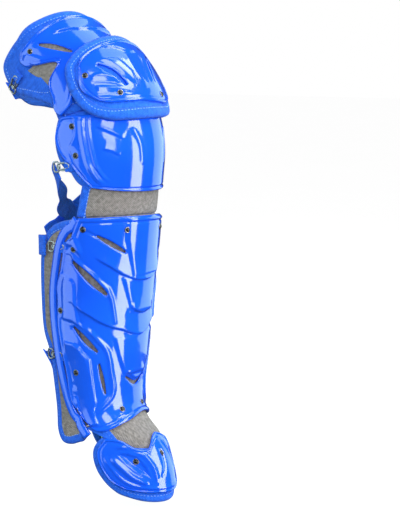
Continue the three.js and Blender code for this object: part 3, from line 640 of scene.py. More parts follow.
# Knee cup, its insert and the ankle roll
# A firm cup behind the knee and a roll above the ankle, covered in soft black leather with
# piped ribs, and a bare yellow gel insert in the middle of the cup.
CUP_GAP = 1.1
CUP_THICKNESS = 9
INSERT_GAP = 1.2
INSERT_THICKNESS = 2
INSERT_ROOT = 1.6
ROLL_THICKNESS = 9
CUP_FACE = -PAD_THICKNESS - CUP_GAP
KNEE_CUP = {
    "top": [(-72, 1.17), (-50, 1.225), (0, 1.245), (40, 1.2), (55, 1.14)],
    "bottom": [(-66, 0.88), (-30, 0.84), (20, 0.84), (50, 0.9)],
    "left": [(-80, 0.96), (-80, 1.08)],
    "right": [(57, 1.0)],
}
KNEE_CUP_INSERT = {
    "top": [(-40, 1.1), (-10, 1.115), (20, 1.1)],
    "bottom": [(-36, 0.93), (-10, 0.9), (20, 0.93)],
    "left": [(-52, 0.99), (-52, 1.05)],
    "right": [(30, 1.0)],
}
ANKLE_ROLL = {
    "top": [(-80, -0.36), (-40, -0.33), (20, -0.33), (60, -0.36)],
    "bottom": [(-80, -0.5), (-40, -0.46), (20, -0.45), (60, -0.5)],
}
black_leather, tree, shader = finish("black_leather", Roughness=0.32, Specular_IOR_Level=0.6, Coat_Weight=0.4,
                                     Coat_Roughness=0.25)
own = tree.node("ShaderNodeTexCoord")
pores = tree.node("ShaderNodeTexVoronoi", {"Vector": own.outputs["Object"], "Scale": 620.0})
worn = put_group(tree, grain, Place=own.outputs["Object"], Broad=30.0, Fine=400.0)
tree.link(tones(tree, worn.outputs["Tone"], (0.018, 0.018, 0.018), (0.045, 0.044, 0.042)),
                    shader.inputs["Base Color"])
emboss(tree, shader, pores.outputs["Distance"], 0.0004, 0.5)

def grained(name, dark, light, broad, fine, depth=0.0, strength=1.0, rough=None, **sockets):
    """A material of two tones. Its fine grain may change how rough it is and raise its surface."""
    material, tree, shader = finish(name, **sockets)
    own = tree.node("ShaderNodeTexCoord")
    worn = put_group(tree, grain, Place=own.outputs["Object"], Broad=broad, Fine=fine)
    tree.link(tones(tree, worn.outputs["Tone"], dark, light), shader.inputs["Base Color"])
    if rough:
        spread = tree.node("ShaderNodeMapRange", {"Value": worn.outputs["Grain"], "To Min": rough[0],
                                                  "To Max": rough[1]})
        tree.link(spread.outputs[0], shader.inputs["Roughness"])
    if depth:
        emboss(tree, shader, worn.outputs["Grain"], depth, strength)
    return material


yellow_gel = grained("yellow_gel", (0.88, 0.72, 0.2), (0.97, 0.84, 0.34), 40.0, 700.0, 0.0003,
                     Roughness=0.45, Subsurface_Weight=0.1)

CUP_CENTRE = (-14, 1.01)
CUP_RINGS = (23, 36, 50)
CUP_CHANNEL = 2.4
CUP_RIB_DEPTH = 3.2
ROLL_RIBS = 26
ROLL_RIB_DEPTH = 1.6
RIBBED_STEP = 2.2
RIBBED_RIM = 6.0
RIBBED_FADE = 4


def ribbed(name, outline, face, thickness, ribs_at, rib_depth, looks):
    """A padded body with channels pressed into its leg side. ribs_at gives 0 to 1."""
    angle, level, distance = field(outline, RIBBED_STEP, RIBBED_RIM)
    full = rounding(distance, RIBBED_RIM)
    middle = face - thickness / 2
    channel = (ribs_at(angle, level, np.linspace(0, 1, angle.shape[1]))
               * np.clip(distance / RIBBED_FADE, 0, 1))
    outer = place(angle, level, middle + thickness / 2 * full)
    inner = place(angle, level, middle - thickness / 2 * full + rib_depth * channel)
    return walled(name, outer.reshape(-1, 3), inner.reshape(-1, 3), grid_quads(angle.shape), looks,
                  surface_uv(angle, level))


def cup_channels(angle, level, share):
    away = np.linalg.norm(skin(angle, level) - skin(*CUP_CENTRE), axis=-1)
    return np.max([np.exp(-((away - ring) / CUP_CHANNEL) ** 2) for ring in CUP_RINGS], axis=0)


def roll_channels(angle, level, share):
    return 0.5 - 0.5 * np.cos(2 * math.pi * ROLL_RIBS * share)


knee_cup = ribbed("knee_cup", KNEE_CUP, CUP_FACE, CUP_THICKNESS, cup_channels, CUP_RIB_DEPTH,
                  [black_leather] * 3)
ankle_roll = ribbed("ankle_roll", ANKLE_ROLL, CUP_FACE, ROLL_THICKNESS, roll_channels, ROLL_RIB_DEPTH,
                    [black_leather] * 3)
insert_high = CUP_FACE - CUP_THICKNESS - INSERT_GAP
knee_insert = pad("knee_cup_insert", KNEE_CUP_INSERT, insert_high + INSERT_ROOT, insert_high - INSERT_THICKNESS,
                  [yellow_gel] * 3, step=2.0, rim=2.5, crown=0.8)
for item, node, look in ((knee_cup, "knee_cup", "leather"), (ankle_roll, "ankle_roll", "leather"),
                         (knee_insert, "knee_cup_insert", "insert")):
    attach(item, "root")
    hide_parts(node)

# Knee cap pad
# The cap's own cushion, a thick blue fabric pad with green lining inside. It stands away from
# the leg towards the inner side, where the hand goes behind it.
SHELL_THICKNESS = 3.2
SHELL_LIFT = 1.4
CLEARANCE = 0.3
CAP_FLARE = 6
FLARE_START = 5
FLARE_END = 50
CAP_PAD_THICKNESS = 8
KNEE_CAP_PAD = {
    "top": [(-60, 1.53), (-52, 1.575), (-35, 1.62), (0, 1.635), (28, 1.615), (42, 1.53)],
    "bottom": [(-58, 1.28), (-50, 1.235), (-37, 1.2), (0, 1.185), (28, 1.2), (42, 1.27)],
    "left": [(-66, 1.34), (-67.5, 1.43)],
    "right": [(46, 1.35), (47, 1.44)],
}


def cap_lift(angle):
    opened = np.clip((angle - FLARE_START) / (FLARE_END - FLARE_START), 0, 1)
    return SHELL_LIFT + SHELL_THICKNESS + 2 * CLEARANCE + CAP_FLARE * opened ** 2


knee_cap_pad = pad("knee_cap_pad", KNEE_CAP_PAD, lambda angle: cap_lift(angle) + CAP_PAD_THICKNESS, cap_lift,
                   [binding_tape, green_liner, binding_tape], rim=4.0)
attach(knee_cap_pad, "root")
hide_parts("knee_cap_pad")

# Bindings and their stitches
# Every pad's raw edge is wrapped in a folded blue tape, sewn through near its inner edge. The
# knee cap's binding is a fat, crinkled roll.
TAPE_INSET = 1.6
TAPE_STEP = 2.4
TAPE_PROUD = 0.8
PIPING_PROUD = 0.4
STITCH_PITCH = 4.2
STITCH_LENGTH = 3.0
STITCH_THICKNESS = 1.1
STITCH_SUNK = 0.5
SLEEVE_SIDES = 14
SLEEVE_SQUARENESS = 0.75


def evenly(angle, level, step):
    """Places a step apart along a run of places."""
    run = np.r_[0, np.cumsum(hops(skin(angle, level)))]
    at = np.linspace(0, run[-1], max(int(run[-1] / step), 8) + 1)
    return np.interp(at, run, angle), np.interp(at, run, level)


def rim_places(outline, corners, inset, step):
    """Places along an outline near its rim. corners are (u, v) corners in order round the rim."""
    wide, tall = spans(outline, 40)
    pull = np.array([inset / wide, inset / tall])
    spots = [np.clip(np.array(c, float), pull, 1 - pull) for c in corners]
    closed = corners[0] == corners[-1]
    if not closed:
        for end, beside in ((0, 1), (-1, -2)):
            run_axis = int(corners[end][0] == corners[beside][0])
            spots[end][run_axis] = corners[end][run_axis]
    path = []
    for spot, after in zip(spots[:-1], spots[1:]):
        path.extend(spot + (after - spot) * t for t in np.linspace(0, 1, 41)[:-1])
    path = np.array([*path, spots[-1]])
    for _ in range(6):
        if closed:
            ring = path[:-1]
            ring = (np.roll(ring, 1, 0) + 2 * ring + np.roll(ring, -1, 0)) / 4
            path = np.concatenate([ring, ring[:1]])
        else:
            path[1:-1] = (path[:-2] + 2 * path[1:-1] + path[2:]) / 4
    angle, level = within(outline, path[:, 0], path[:, 1])
    return (*evenly(angle, level, step), closed)


def headings(points, closed):
    """The direction of a run of points at each of them."""
    if closed:
        return unit(np.roll(points, -1, 0) - np.roll(points, 1, 0))
    return unit(np.gradient(points, axis=0))


def tube_faces(count, sides, closed):
    """The faces of a tube of count rings, with an end at each end unless it is closed."""
    faces = []
    for i in range(count if closed else count - 1):
        a, b = i * sides, (i + 1) % count * sides
        faces.extend((a + k, a + (k + 1) % sides, b + (k + 1) % sides, b + k) for k in range(sides))
    if not closed:
        faces.append(tuple(range(sides - 1, -1, -1)))
        faces.append(tuple((count - 1) * sides + k for k in range(sides)))
    return faces


def squared(count, squareness):
    """Turns round a circle, and the two coordinates of a squarer circle at each of them."""
    turn = np.linspace(0, 2 * math.pi, count, endpoint=False)
    x, y = (np.sign(wave) * np.abs(wave) ** squareness for wave in (np.cos(turn), np.sin(turn)))
    return turn, x, y


def righted(item):
    """An object with its faces turned outwards."""
    return reworked(item, lambda form: bmesh.ops.recalc_face_normals(form, faces=form.faces))


def sleeve(name, centres, ups, half_width, half_height, closed, look):
    """A closed tube with an oval section along points; ups point out of the surface."""
    acrosses = unit(np.cross(ups, headings(centres, closed)))
    turn, side, rise = squared(SLEEVE_SIDES, SLEEVE_SQUARENESS)
    count = len(centres)
    widths = np.broadcast_to(np.asarray(half_width, float), (count,))[:, None, None]
    heights = np.broadcast_to(np.asarray(half_height, float), (count,))[:, None, None]
    rings = (centres[:, None] + acrosses[:, None] * side[None, :, None] * widths
             + ups[:, None] * rise[None, :, None] * heights)
    run = np.r_[0, np.cumsum(hops(centres))]
    girth = turn * (np.mean(widths) + np.mean(heights)) / 2
    uv = np.stack(np.broadcast_arrays(girth[None, :], run[:, None]), -1).reshape(-1, 2)
    return righted(piece_of(name, rings.reshape(-1, 3), tube_faces(count, SLEEVE_SIDES, closed), [look],
                            None, uv))


# Stitches along the edges of a mesh
stitch_rows, given, result = effect(
    "row_of_stitches", [("Geometry", "NodeSocketGeometry", None), ("Pitch", "NodeSocketFloat", 0.0036),
                        ("Length", "NodeSocketFloat", 0.0026), ("Thickness", "NodeSocketFloat", 0.0007),
                        ("Thread", "NodeSocketMaterial", None)],
    [("Geometry", "NodeSocketGeometry")], "GeometryNodeTree")
curve = stitch_rows.node("GeometryNodeMeshToCurve", {"Mesh": given.outputs["Geometry"]})
spots = stitch_rows.node("GeometryNodeResampleCurve", {
    "Curve": curve.outputs[0], "Length": given.outputs["Pitch"]}, mode="LENGTH")
thread = stitch_rows.node("GeometryNodeMeshUVSphere", {"Segments": 6, "Rings": 4, "Radius": 0.5})
size = stitch_rows.node("ShaderNodeCombineXYZ", {0: given.outputs["Thickness"], 1: given.outputs["Thickness"],
                                                 2: given.outputs["Length"]})
slim = stitch_rows.node("GeometryNodeTransform", {"Geometry": thread.outputs[0], "Scale": size.outputs[0]})
heading = stitch_rows.node("GeometryNodeInputTangent")
turned = stitch_rows.node("FunctionNodeAlignRotationToVector", {"Vector": heading.outputs[0]}, axis="Z")
sewn = stitch_rows.node("GeometryNodeInstanceOnPoints", {
    "Points": spots.outputs[0], "Instance": slim.outputs[0], "Rotation": turned.outputs[0]})
real = stitch_rows.node("GeometryNodeRealizeInstances", {"Geometry": sewn.outputs[0]})
threaded = stitch_rows.node("GeometryNodeSetMaterial", {"Geometry": real.outputs[0],
                                                        "Material": given.outputs["Thread"]})
stitch_rows.link(threaded.outputs[0], result.inputs[0])


def by_nodes(name, tree, points, edges, values, attributes=None):
    """An object made by a node tree from points and edges in millimetres, as a plain mesh."""
    mesh = bpy.data.meshes.new(name)
    mesh.from_pydata((np.asarray(points) * MM).tolist(), edges, [])
    for label, vectors in (attributes or {}).items():
        data = mesh.attributes.new(label, "FLOAT_VECTOR", "POINT")
        data.data.foreach_set("vector", np.asarray(vectors, float).ravel())
    item = bpy.data.objects.new(name, mesh)
    bpy.context.scene.collection.objects.link(item)
    modifier = item.modifiers.new("make", "NODES")
    modifier.node_group = tree
    names = {s.name: s.identifier for s in tree.interface.items_tree if s.in_out == "INPUT"}
    for label, value in values.items():
        modifier[names[label]] = value
    graph = bpy.context.evaluated_depsgraph_get()
    made = bpy.data.meshes.new_from_object(item.evaluated_get(graph))
    item.modifiers.clear()
    item.data = made
    made.polygons.foreach_set("use_smooth", [True] * len(made.polygons))
    bpy.data.meshes.remove(mesh)
    return item


blue_thread = grained("blue_thread", (0.12, 0.32, 0.9), (0.3, 0.55, 1.0), 200.0, 2500.0, 0.0003,
                      Roughness=0.6, Sheen_Weight=0.2)


def stitches(name, lines, closed):
    """Rows of stitches along lines of points, which are all closed or all open."""
    edges = []
    start = 0
    for line in lines:
        end = start + len(line)
        edges.extend((k, k + 1) for k in range(start, end - 1))
        if closed:
            edges.append((end - 1, start))
        start = end
    return by_nodes(name, stitch_rows.tree, np.concatenate(lines), edges,
                    {"Pitch": STITCH_PITCH * MM, "Length": STITCH_LENGTH * MM,
                     "Thickness": STITCH_THICKNESS * MM, "Thread": blue_thread})


WHOLE = [(0.0, 0.5), (0.0, 0.0), (1.0, 0.0), (1.0, 1.0), (0.0, 1.0), (0.0, 0.5)]
# name, outline, corners along the rim, high, low, half width of the tape
BINDINGS = [
    ("thigh_pad_binding", THIGH_PAD, WHOLE, 0, -PAD_THICKNESS, 6.2),
    ("knee_pad_binding", KNEE_PAD, [(0.0, 1.0), (0.0, 0.0), (1.0, 0.0), (1.0, 1.0)], 0, -PAD_THICKNESS, 5.6),
    ("neck_outer_binding", NECK_BAND, [(0.0, 1.0), (0.0, 0.0)], 0, -BAND_THICKNESS, 6.5),
    ("neck_inner_binding", NECK_BAND, [(1.0, 0.0), (1.0, 1.0)], 0, -BAND_THICKNESS, 6.5),
    ("lateral_wing_binding", LATERAL_WING, [(1.0, 0.0), (0.0, 0.0), (0.0, 1.0), (1.0, 1.0)], 0,
     -WING_THICKNESS, 5.6),
    ("medial_wing_binding", MEDIAL_WING, [(0.0, 1.0), (1.0, 1.0), (1.0, 0.0), (0.0, 0.0)], 0,
     -WING_THICKNESS, 5.6),
    ("gusset_outer_binding", ANKLE_GUSSET, [(0.13, 1.0), (0.1, 0.0)], 0, -BAND_THICKNESS, 5.0),
    ("toe_pad_binding", TOE_PAD, WHOLE, 0, -PAD_THICKNESS, 5.4),
    ("cup_piping", KNEE_CUP, WHOLE, CUP_FACE, CUP_FACE - CUP_THICKNESS, 4.2),
]
for name, outline, corners, high, low, half_width in BINDINGS:
    angle, level, closed = rim_places(outline, corners, half_width - TAPE_INSET, TAPE_STEP)
    if closed:
        angle, level = angle[:-1], level[:-1]
    middle = (high + low) / 2
    thick = (high - low) / 2 + (TAPE_PROUD if high == 0 else PIPING_PROUD)
    look = black_leather if name == "cup_piping" else binding_tape
    tape = sleeve(name, place(angle, level, middle), outward(angle, level), half_width, thick, closed, look)
    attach(tape, "root")
    if look is black_leather:
        continue
    angle, level, closed = rim_places(outline, corners, 2 * (half_width - TAPE_INSET), TAPE_STEP)
    lines = [place(angle, level, middle + side * (thick - STITCH_SUNK)) for side in (1, -1)]
    sewn = stitches(name + "_stitches", lines, closed)
    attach(sewn, "root")

CAP_ROLL_HALF_WIDTH = 7.2
CAP_ROLL_HALF_HEIGHT = 5.6
CAP_ROLL_INSET = 5.5
CAP_ROLL_RAISED = 0.6
CAP_ROLL_STEP = 2.0
CAP_SEAM_INSET = 9.0
CAP_SEAM_RAISED = 1.9
angle, level, closed = rim_places(KNEE_CAP_PAD, WHOLE, CAP_ROLL_INSET, CAP_ROLL_STEP)
angle, level = angle[:-1], level[:-1]
turn = np.arange(len(angle)) * 2 * math.pi / len(angle)
crinkle = 1 + 0.045 * np.sin(61 * turn) * (0.6 + 0.4 * np.sin(13 * turn)) + 0.02 * np.sin(97 * turn)
centres = place(angle, level, cap_lift(angle) + CAP_PAD_THICKNESS / 2 + CAP_ROLL_RAISED)
cap_roll = sleeve("knee_cap_roll", centres, outward(angle, level), CAP_ROLL_HALF_WIDTH * crinkle,
                  CAP_ROLL_HALF_HEIGHT * crinkle, True, binding_tape)
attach(cap_roll, "root")
angle, level, closed = rim_places(KNEE_CAP_PAD, WHOLE, CAP_SEAM_INSET, CAP_ROLL_STEP)
seam = place(angle, level, cap_lift(angle) + CAP_PAD_THICKNESS + CAP_SEAM_RAISED)
cap_stitches = stitches("knee_cap_roll_stitches", [seam], True)
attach(cap_stitches, "root")

# Hard plates
# Injection-moulded glossy blue plastic, about 3 mm thick, with overlapping lips, raised facets, a
# border channel and open slots that show the mesh behind. Each is riveted through the lining.
RIM_RADIUS = 2.2
PLATE_STEP = 1.25
LIP_EDGE = 1.8
WEDGE_EDGE = 1.6
UNDERCUT = 0.35
FADING_SHARE = 0.14
CHANNEL_DEPTH = 1.2
CHANNEL_HALF_WIDTH = 1.2
BEAD_HEIGHT = 0.8
FAR = 1e9
shell_plastic = grained("glossy_blue_plastic", (0.003, 0.09, 0.86), (0.006, 0.125, 0.97), 9.0, 260.0, 0.00008,
                        0.4, (0.08, 0.18), Roughness=0.12, Specular_IOR_Level=0.5, Coat_Weight=1.0,
                        Coat_Roughness=0.02)


def dense(line, closed=False, smooth=True):
    """Points, angles and levels along a line of places."""
    line = [tuple(spot[:2]) for spot in line]
    if closed:
        line = line + line[:1]
    if smooth:
        return follow(line, np.linspace(0, 1, 40))
    rows = []
    for a, b in zip(line[:-1], line[1:]):
        rows.extend(np.array(a) + (np.array(b) - np.array(a)) * t for t in np.linspace(0, 1, 7)[:-1])
    rows.append(np.array(line[-1]))
    return np.array(rows)


def nearest(points, ups, rows):
    """Each point's distance from a run of places, its share along it, and the side that it is on."""
    track = skin(rows[:, 0], rows[:, 1])
    best = np.full(points.shape[:-1], FAR)
    share = np.zeros_like(best)
    side = np.ones_like(best)
    for k in range(len(track) - 1):
        start, run = track[k], track[k + 1] - track[k]
        away = points - start
        t = np.clip((away @ run) / (run @ run), 0, 1)
        gap = away - t[..., None] * run
        distance = np.linalg.norm(gap, axis=-1)
        closer = distance < best
        best = np.where(closer, distance, best)
        share = np.where(closer, (k + t) / (len(track) - 1), share)
        turn = np.einsum("...i,...i->...", np.cross(np.broadcast_to(run, gap.shape), away), ups)
        side = np.where(closer, np.sign(turn) + (turn == 0), side)
    return best, share, side


def smooth_step(x):
    x = np.clip(x, 0, 1)
    return x * x * (3 - 2 * x)


def fading(share):
    return smooth_step(np.clip(share / FADING_SHARE, 0, 1) * np.clip((1 - share) / FADING_SHARE, 0, 1))


def inside(angle, level, polygon):
    """Whether places lie in a polygon of places."""
    found = np.zeros(angle.shape, bool)
    for (a0, l0), (a1, l1) in zip(polygon, polygon[1:] + polygon[:1]):
        if l0 == l1:
            continue
        crosses = (level > l0) != (level > l1)
        found ^= crosses & (angle < a0 + (level - l0) / (l1 - l0) * (a1 - a0))
    return found


def relief(angle, level, points, ups, features):
    """The height of moulded features: (kind, height, run, line or polygon of places)."""
    height = np.zeros(angle.shape)
    for kind, rise, run, line in features:
        if kind in ("facet", "roof", "wedge"):
            distance, _, _ = nearest(points, ups, dense(line, closed=True, smooth=False))
            signed = np.where(inside(angle, level, list(line)), distance, -distance)
            if kind == "facet":
                height += rise * smooth_step(0.5 + signed / run)
            elif kind == "roof":
                height += rise * np.clip(signed / run, 0, 1)
            else:
                low, _, _ = nearest(points, ups, dense(line[:2], smooth=False))
                height += (rise * (np.clip(low / run, 0, 1) - UNDERCUT)
                           * np.clip(signed / WEDGE_EDGE, 0, 1))
            continue
        distance, share, side = nearest(points, ups, dense(line))
        fade = fading(share)
        if kind == "lip":
            signed = distance * side
            above = np.exp(-np.maximum(signed, 0) / run) * smooth_step(0.5 + signed / LIP_EDGE)
            under = np.exp(np.minimum(signed, 0) / run) * smooth_step(0.5 - signed / LIP_EDGE)
            height += fade * rise * (above - UNDERCUT * under)
        elif kind == "ridge":
            height += fade * rise * np.maximum(1 - distance / run, 0)
        elif kind == "groove":
            height -= fade * rise * np.exp(-(distance / run) ** 2)
    return height


def mirrored(features, scale=0.93):
    """The same features on the inner side; a lip's line is turned round to keep its upper side."""
    return [(kind, rise, run, [(-angle * scale, level) for angle, level in reversed(line)])
            for kind, rise, run, line in features]


def taper(share):
    return 0.3 + 0.7 * np.sin(math.pi * (0.08 + 0.84 * share))


def slot_distance(angle, level, slot):
    """Distance from the edge of a slot (width, line), negative inside it."""
    width, line = slot
    distance, share, _ = nearest(skin(angle, level), outward(angle, level), dense(line))
    return distance - width / 2 * taper(share)


def moved_to_edge(a, l, gap, slot):
    """Places near a slot's edge, drawn onto it by two steps down the slope of their distance."""
    da, dl = 0.2, 0.002
    for _ in range(2):
        ga = (slot_distance(a + da, l, slot) - slot_distance(a - da, l, slot)) / (2 * da)
        gl = (slot_distance(a, l + dl, slot) - slot_distance(a, l - dl, slot)) / (2 * dl)
        per_degree = np.linalg.norm(skin(a + 1, l) - skin(a - 1, l), axis=-1) / 2
        per_level = np.linalg.norm(skin(a, l + dl) - skin(a, l - dl), axis=-1) / (2 * dl)
        fa, fl = ga / per_degree, gl / per_level
        slope = np.maximum(fa ** 2 + fl ** 2, 0.25)
        a = a - gap * fa / slope / per_degree
        l = l - gap * fl / slope / per_level
        gap = slot_distance(a, l, slot)
    return a, l


def plate(name, outline, features, slots, lift, border):
    """A hard plate: a rounded rim, a border channel, moulded features and slots cut through."""
    angle, level, distance = field(outline, PLATE_STEP, RIM_RADIUS)
    hollow = np.full(angle.shape, FAR)
    for slot in slots:
        gap = slot_distance(angle, level, slot)
        close = np.abs(gap) < 0.75 * PLATE_STEP
        close[[0, -1]] = False
        close[:, [0, -1]] = False
        angle[close], level[close] = moved_to_edge(angle[close], level[close], gap[close], slot)
        gap[close] = 0
        hollow = np.minimum(hollow, gap)
    points = skin(angle, level)
    ups = outward(angle, level)
    raised = relief(angle, level, points, ups, features) * smooth_step(distance / (2 * RIM_RADIUS))
    raised -= CHANNEL_DEPTH * np.exp(-((distance - border) / CHANNEL_HALF_WIDTH) ** 2)
    raised += BEAD_HEIGHT * np.exp(-((distance - border * 0.45) / (border * 0.3)) ** 2)
    full = rounding(np.minimum(distance, np.maximum(hollow, 0) + 0.4), RIM_RADIUS)
    middle = lift(angle) + SHELL_THICKNESS / 2 + raised
    outer = points + ups * (middle + SHELL_THICKNESS / 2 * full)[..., None]
    inner = points + ups * (middle - SHELL_THICKNESS / 2 * full)[..., None]
    flat = hollow.ravel()
    faces = []
    for face in grid_quads(angle.shape).tolist():
        cut = [k for k in face if flat[k] < -1e-6]
        if not cut:
            if any(flat[k] > 0 for k in face):
                faces.append(face)
        elif len(cut) == 1:
            turn = face.index(cut[0])
            rest = [face[(turn + n) % 4] for n in (1, 2, 3)]
            if flat[rest[1]] > 0:
                faces.append(rest)
    return walled(name, outer.reshape(-1, 3), inner.reshape(-1, 3), faces, [shell_plastic] * 3,
                  surface_uv(angle, level), pierced=True)


def close_lift(angle):
    return np.full(np.shape(angle), float(SHELL_LIFT))


def cap_shell_lift(angle):
    return cap_lift(angle) + CAP_PAD_THICKNESS + 2 * CLEARANCE


SHIN_PLATE = {
    "top": [(-81, 0.61), (-30, 0.627), (25, 0.622), (74, 0.59)],
    "bottom": [(-75, -0.6), (-66, -0.63), (-26, -0.585), (15, -0.555), (55, -0.59), (89, -0.64)],
    "left": [(-91, -0.51), (-95, -0.33), (-99, -0.13), (-98, 0.02), (-98, 0.13), (-95, 0.24), (-91, 0.45)],
    "right": [(90, -0.48), (91, -0.22), (91, 0.04), (83.5, 0.31)],
}
SHIN_SIDE = [
    ("roof", 2.6, 3.6, [(-92, 0.4), (-79, 0.322), (-61, 0.236), (-43, 0.139), (-38, 0.066), (-32, -0.097),
                        (-38, -0.08), (-44, 0.045), (-49, 0.104), (-67, 0.212), (-89, 0.325)]),
    ("wedge", 3.2, 15.0, [(-99, -0.063), (-98, 0.19), (-94, 0.227), (-85, 0.152), (-84, 0.017), (-79, -0.079),
                          (-72, -0.12)]),
    ("roof", 2.0, 4.0, [(-90, 0.568), (-83, 0.488), (-77, 0.42), (-75, 0.375), (-78, 0.34), (-90, 0.405),
                        (-92, 0.424)]),
    ("wedge", 5.4, 28.0, [(-87, -0.561), (-94, -0.29), (-94, -0.178), (-80, -0.203), (-75, -0.23),
                          (-65, -0.262), (-62, -0.363), (-58, -0.482), (-63, -0.53), (-63, -0.596),
                          (-72, -0.607)]),
    ("ridge", 2.4, 4.2, [(-78, -0.085), (-57, -0.16), (-44, -0.223), (-38, -0.321), (-34, -0.412),
                         (-37, -0.457), (-55, -0.526), (-66, -0.556)]),
    ("groove", 1.2, 1.5, [(-75, 0.53), (-66, 0.508), (-59, 0.484)]),
]
SHIN_FRONT = [
    ("facet", 2.2, 6.0, [(-28, 0.8), (-27, 0.465), (-22, 0.335), (-17, 0.205), (24, 0.225), (32, 0.335),
                         (40, 0.465), (42, 0.8)]),
    ("facet", 2.0, 6.0, [(-28, 0.195), (-23, 0.101), (-17, -0.005), (-14, -0.03), (22, -0.025), (30, 0.1),
                         (36, 0.22)]),
    ("facet", 2.0, 5.0, [(-35, -0.16), (-27, -0.262), (-18, -0.344), (24, -0.34), (34, -0.26), (42, -0.13)]),
    ("lip", 2.6, 12.0, [(-64, 0.35), (-45, 0.282), (-37, 0.249), (-17, 0.193), (-4, 0.183), (12, 0.19),
                        (24, 0.225), (42, 0.31)]),
    ("lip", 2.8, 12.0, [(-94, 0.07), (-84, -0.002), (-67, -0.044), (-53, -0.078), (-37, -0.106),
                        (-25, -0.118), (-12, -0.14), (2, -0.148), (18, -0.128), (40, -0.05), (76, 0.09)]),
    ("lip", 2.2, 7.0, [(-18, 0.0), (-5, -0.034), (8, -0.04), (24, -0.025)]),
    ("lip", 1.8, 8.0, [(-15, -0.335), (3, -0.375), (22, -0.34)]),
]
SHIN_SLOTS = [
    (6, [(-59, 0.49), (-44, 0.435), (-29, 0.38)]),
    (9, [(-87, 0.3), (-68, 0.2), (-48, 0.09)]),
    (7, [(-88, -0.11), (-72, -0.17), (-57, -0.225)]),
    (4.5, [(-54, -0.29), (-49, -0.37), (-45, -0.44)]),
    (5, [(-14, -0.365), (3, -0.4), (22, -0.37)]),
    (6, [(54, 0.46), (42, 0.41), (30, 0.36)]),
    (8, [(80, 0.16), (66, 0.1), (52, 0.02)]),
    (7, [(82, -0.14), (68, -0.2), (56, -0.25)]),
]
KNEE_PLATE = {
    "top": [(-90, 1.32), (-60, 1.26), (0, 1.24), (45, 1.25), (70, 1.29)],
    "bottom": [(-67, 0.82), (-30, 0.8), (30, 0.8), (62, 0.83)],
    "left": [(-77, 0.88), (-91, 1.0), (-98, 1.17)],
    "right": [(70, 0.95), (74, 1.12)],
}
KNEE_SIDE = [
    ("ridge", 2.6, 5.0, [(-68, 1.3), (-73, 1.17), (-71, 1.009), (-62, 0.893), (-52, 0.84)]),
    ("ridge", 1.5, 3.0, [(-62, 1.3), (-67, 1.17), (-65, 1.02), (-57, 0.91), (-48, 0.86)]),
    ("lip", 1.5, 6.0, [(-78, 1.3), (-81, 1.178), (-91, 1.094)]),
    ("groove", 1.0, 1.5, [(-91, 1.094), (-84, 0.971), (-72, 0.87)]),
]
KNEE_FRONT = [
    ("lip", 1.8, 6.0, [(-60, 1.19), (-47, 1.144), (-35, 1.105)]),
    ("lip", 1.4, 5.0, [(-57, 1.068), (-48, 1.052), (-40, 1.032)]),
    ("ridge", 0.9, 4.0, [(-26, 1.16), (-19, 1.08), (-17, 0.98)]),
    ("ridge", 0.9, 4.0, [(30, 1.16), (23, 1.08), (20, 0.98)]),
]
THIGH_PLATE = {
    "top": [(-90, 1.92), (-46, 1.955), (-10, 1.935), (20, 1.87), (40, 1.81), (60, 1.78)],
    "bottom": [(-90, 1.33), (-76, 1.36), (-62, 1.46), (-40, 1.5), (0, 1.52), (40, 1.5), (74, 1.4)],
    "left": [(-91, 1.4), (-85, 1.57), (-65, 1.655), (-89, 1.77), (-93, 1.86)],
    "right": [(76, 1.49), (73, 1.62), (70, 1.72)],
}
THIGH_FEATURES = [
    ("lip", 2.4, 8.0, [(-52, 1.87), (-34, 1.84), (-14, 1.795), (14, 1.78), (32, 1.76)]),
    ("facet", 1.6, 2.4, [(-93, 1.86), (-86, 1.865), (-79, 1.8), (-73, 1.74), (-79, 1.715), (-90, 1.745)]),
    ("ridge", 1.2, 5.0, [(-80, 1.36), (-66, 1.46), (-44, 1.56), (-20, 1.58)]),
    ("groove", 1.0, 1.5, [(-76, 1.88), (-69, 1.855), (-60, 1.80)]),
]
KNEE_CAP = {
    "top": [(-50, 1.51), (-44, 1.55), (-30, 1.575), (0, 1.58), (26, 1.56), (38, 1.5)],
    "bottom": [(-50, 1.3), (-41, 1.275), (-16, 1.255), (17, 1.24), (30, 1.26), (38, 1.31)],
    "left": [(-58, 1.36), (-59, 1.42)],
    "right": [(42, 1.36), (42, 1.44)],
}
CAP_FEATURES = [
    ("wedge", 2.4, 7.0, [(-19, 1.33), (-35, 1.472), (-31, 1.484), (-18, 1.455), (-11, 1.384), (-13, 1.312)]),
    ("wedge", 2.2, 8.0, [(-49, 1.39), (-22, 1.325), (-27, 1.38), (-37, 1.425), (-48, 1.425)]),
    ("wedge", 2.2, 8.0, [(-48, 1.325), (-22, 1.29), (-24, 1.315), (-48, 1.372)]),
    ("lip", 1.8, 6.0, [(-26, 1.552), (-14, 1.513), (-4, 1.48), (8, 1.475)]),
    ("ridge", 1.2, 5.0, [(-8, 1.47), (-8, 1.366), (-3, 1.30)]),
    ("ridge", 1.2, 5.0, [(24, 1.5), (12, 1.4), (8, 1.31)]),
]
TOE_PLATE = {
    "top": [(-62, -0.66), (-48, -0.665), (-35, -0.7), (-22, -0.71), (-11, -0.665), (0, -0.645), (18, -0.67)],
    "bottom": [(-50, -0.9), (-28, -0.915), (6, -0.915), (20, -0.89)],
    "left": [(-62.5, -0.86), (-70, -0.79), (-71, -0.72)],
    "right": [(29, -0.83), (29, -0.75)],
}
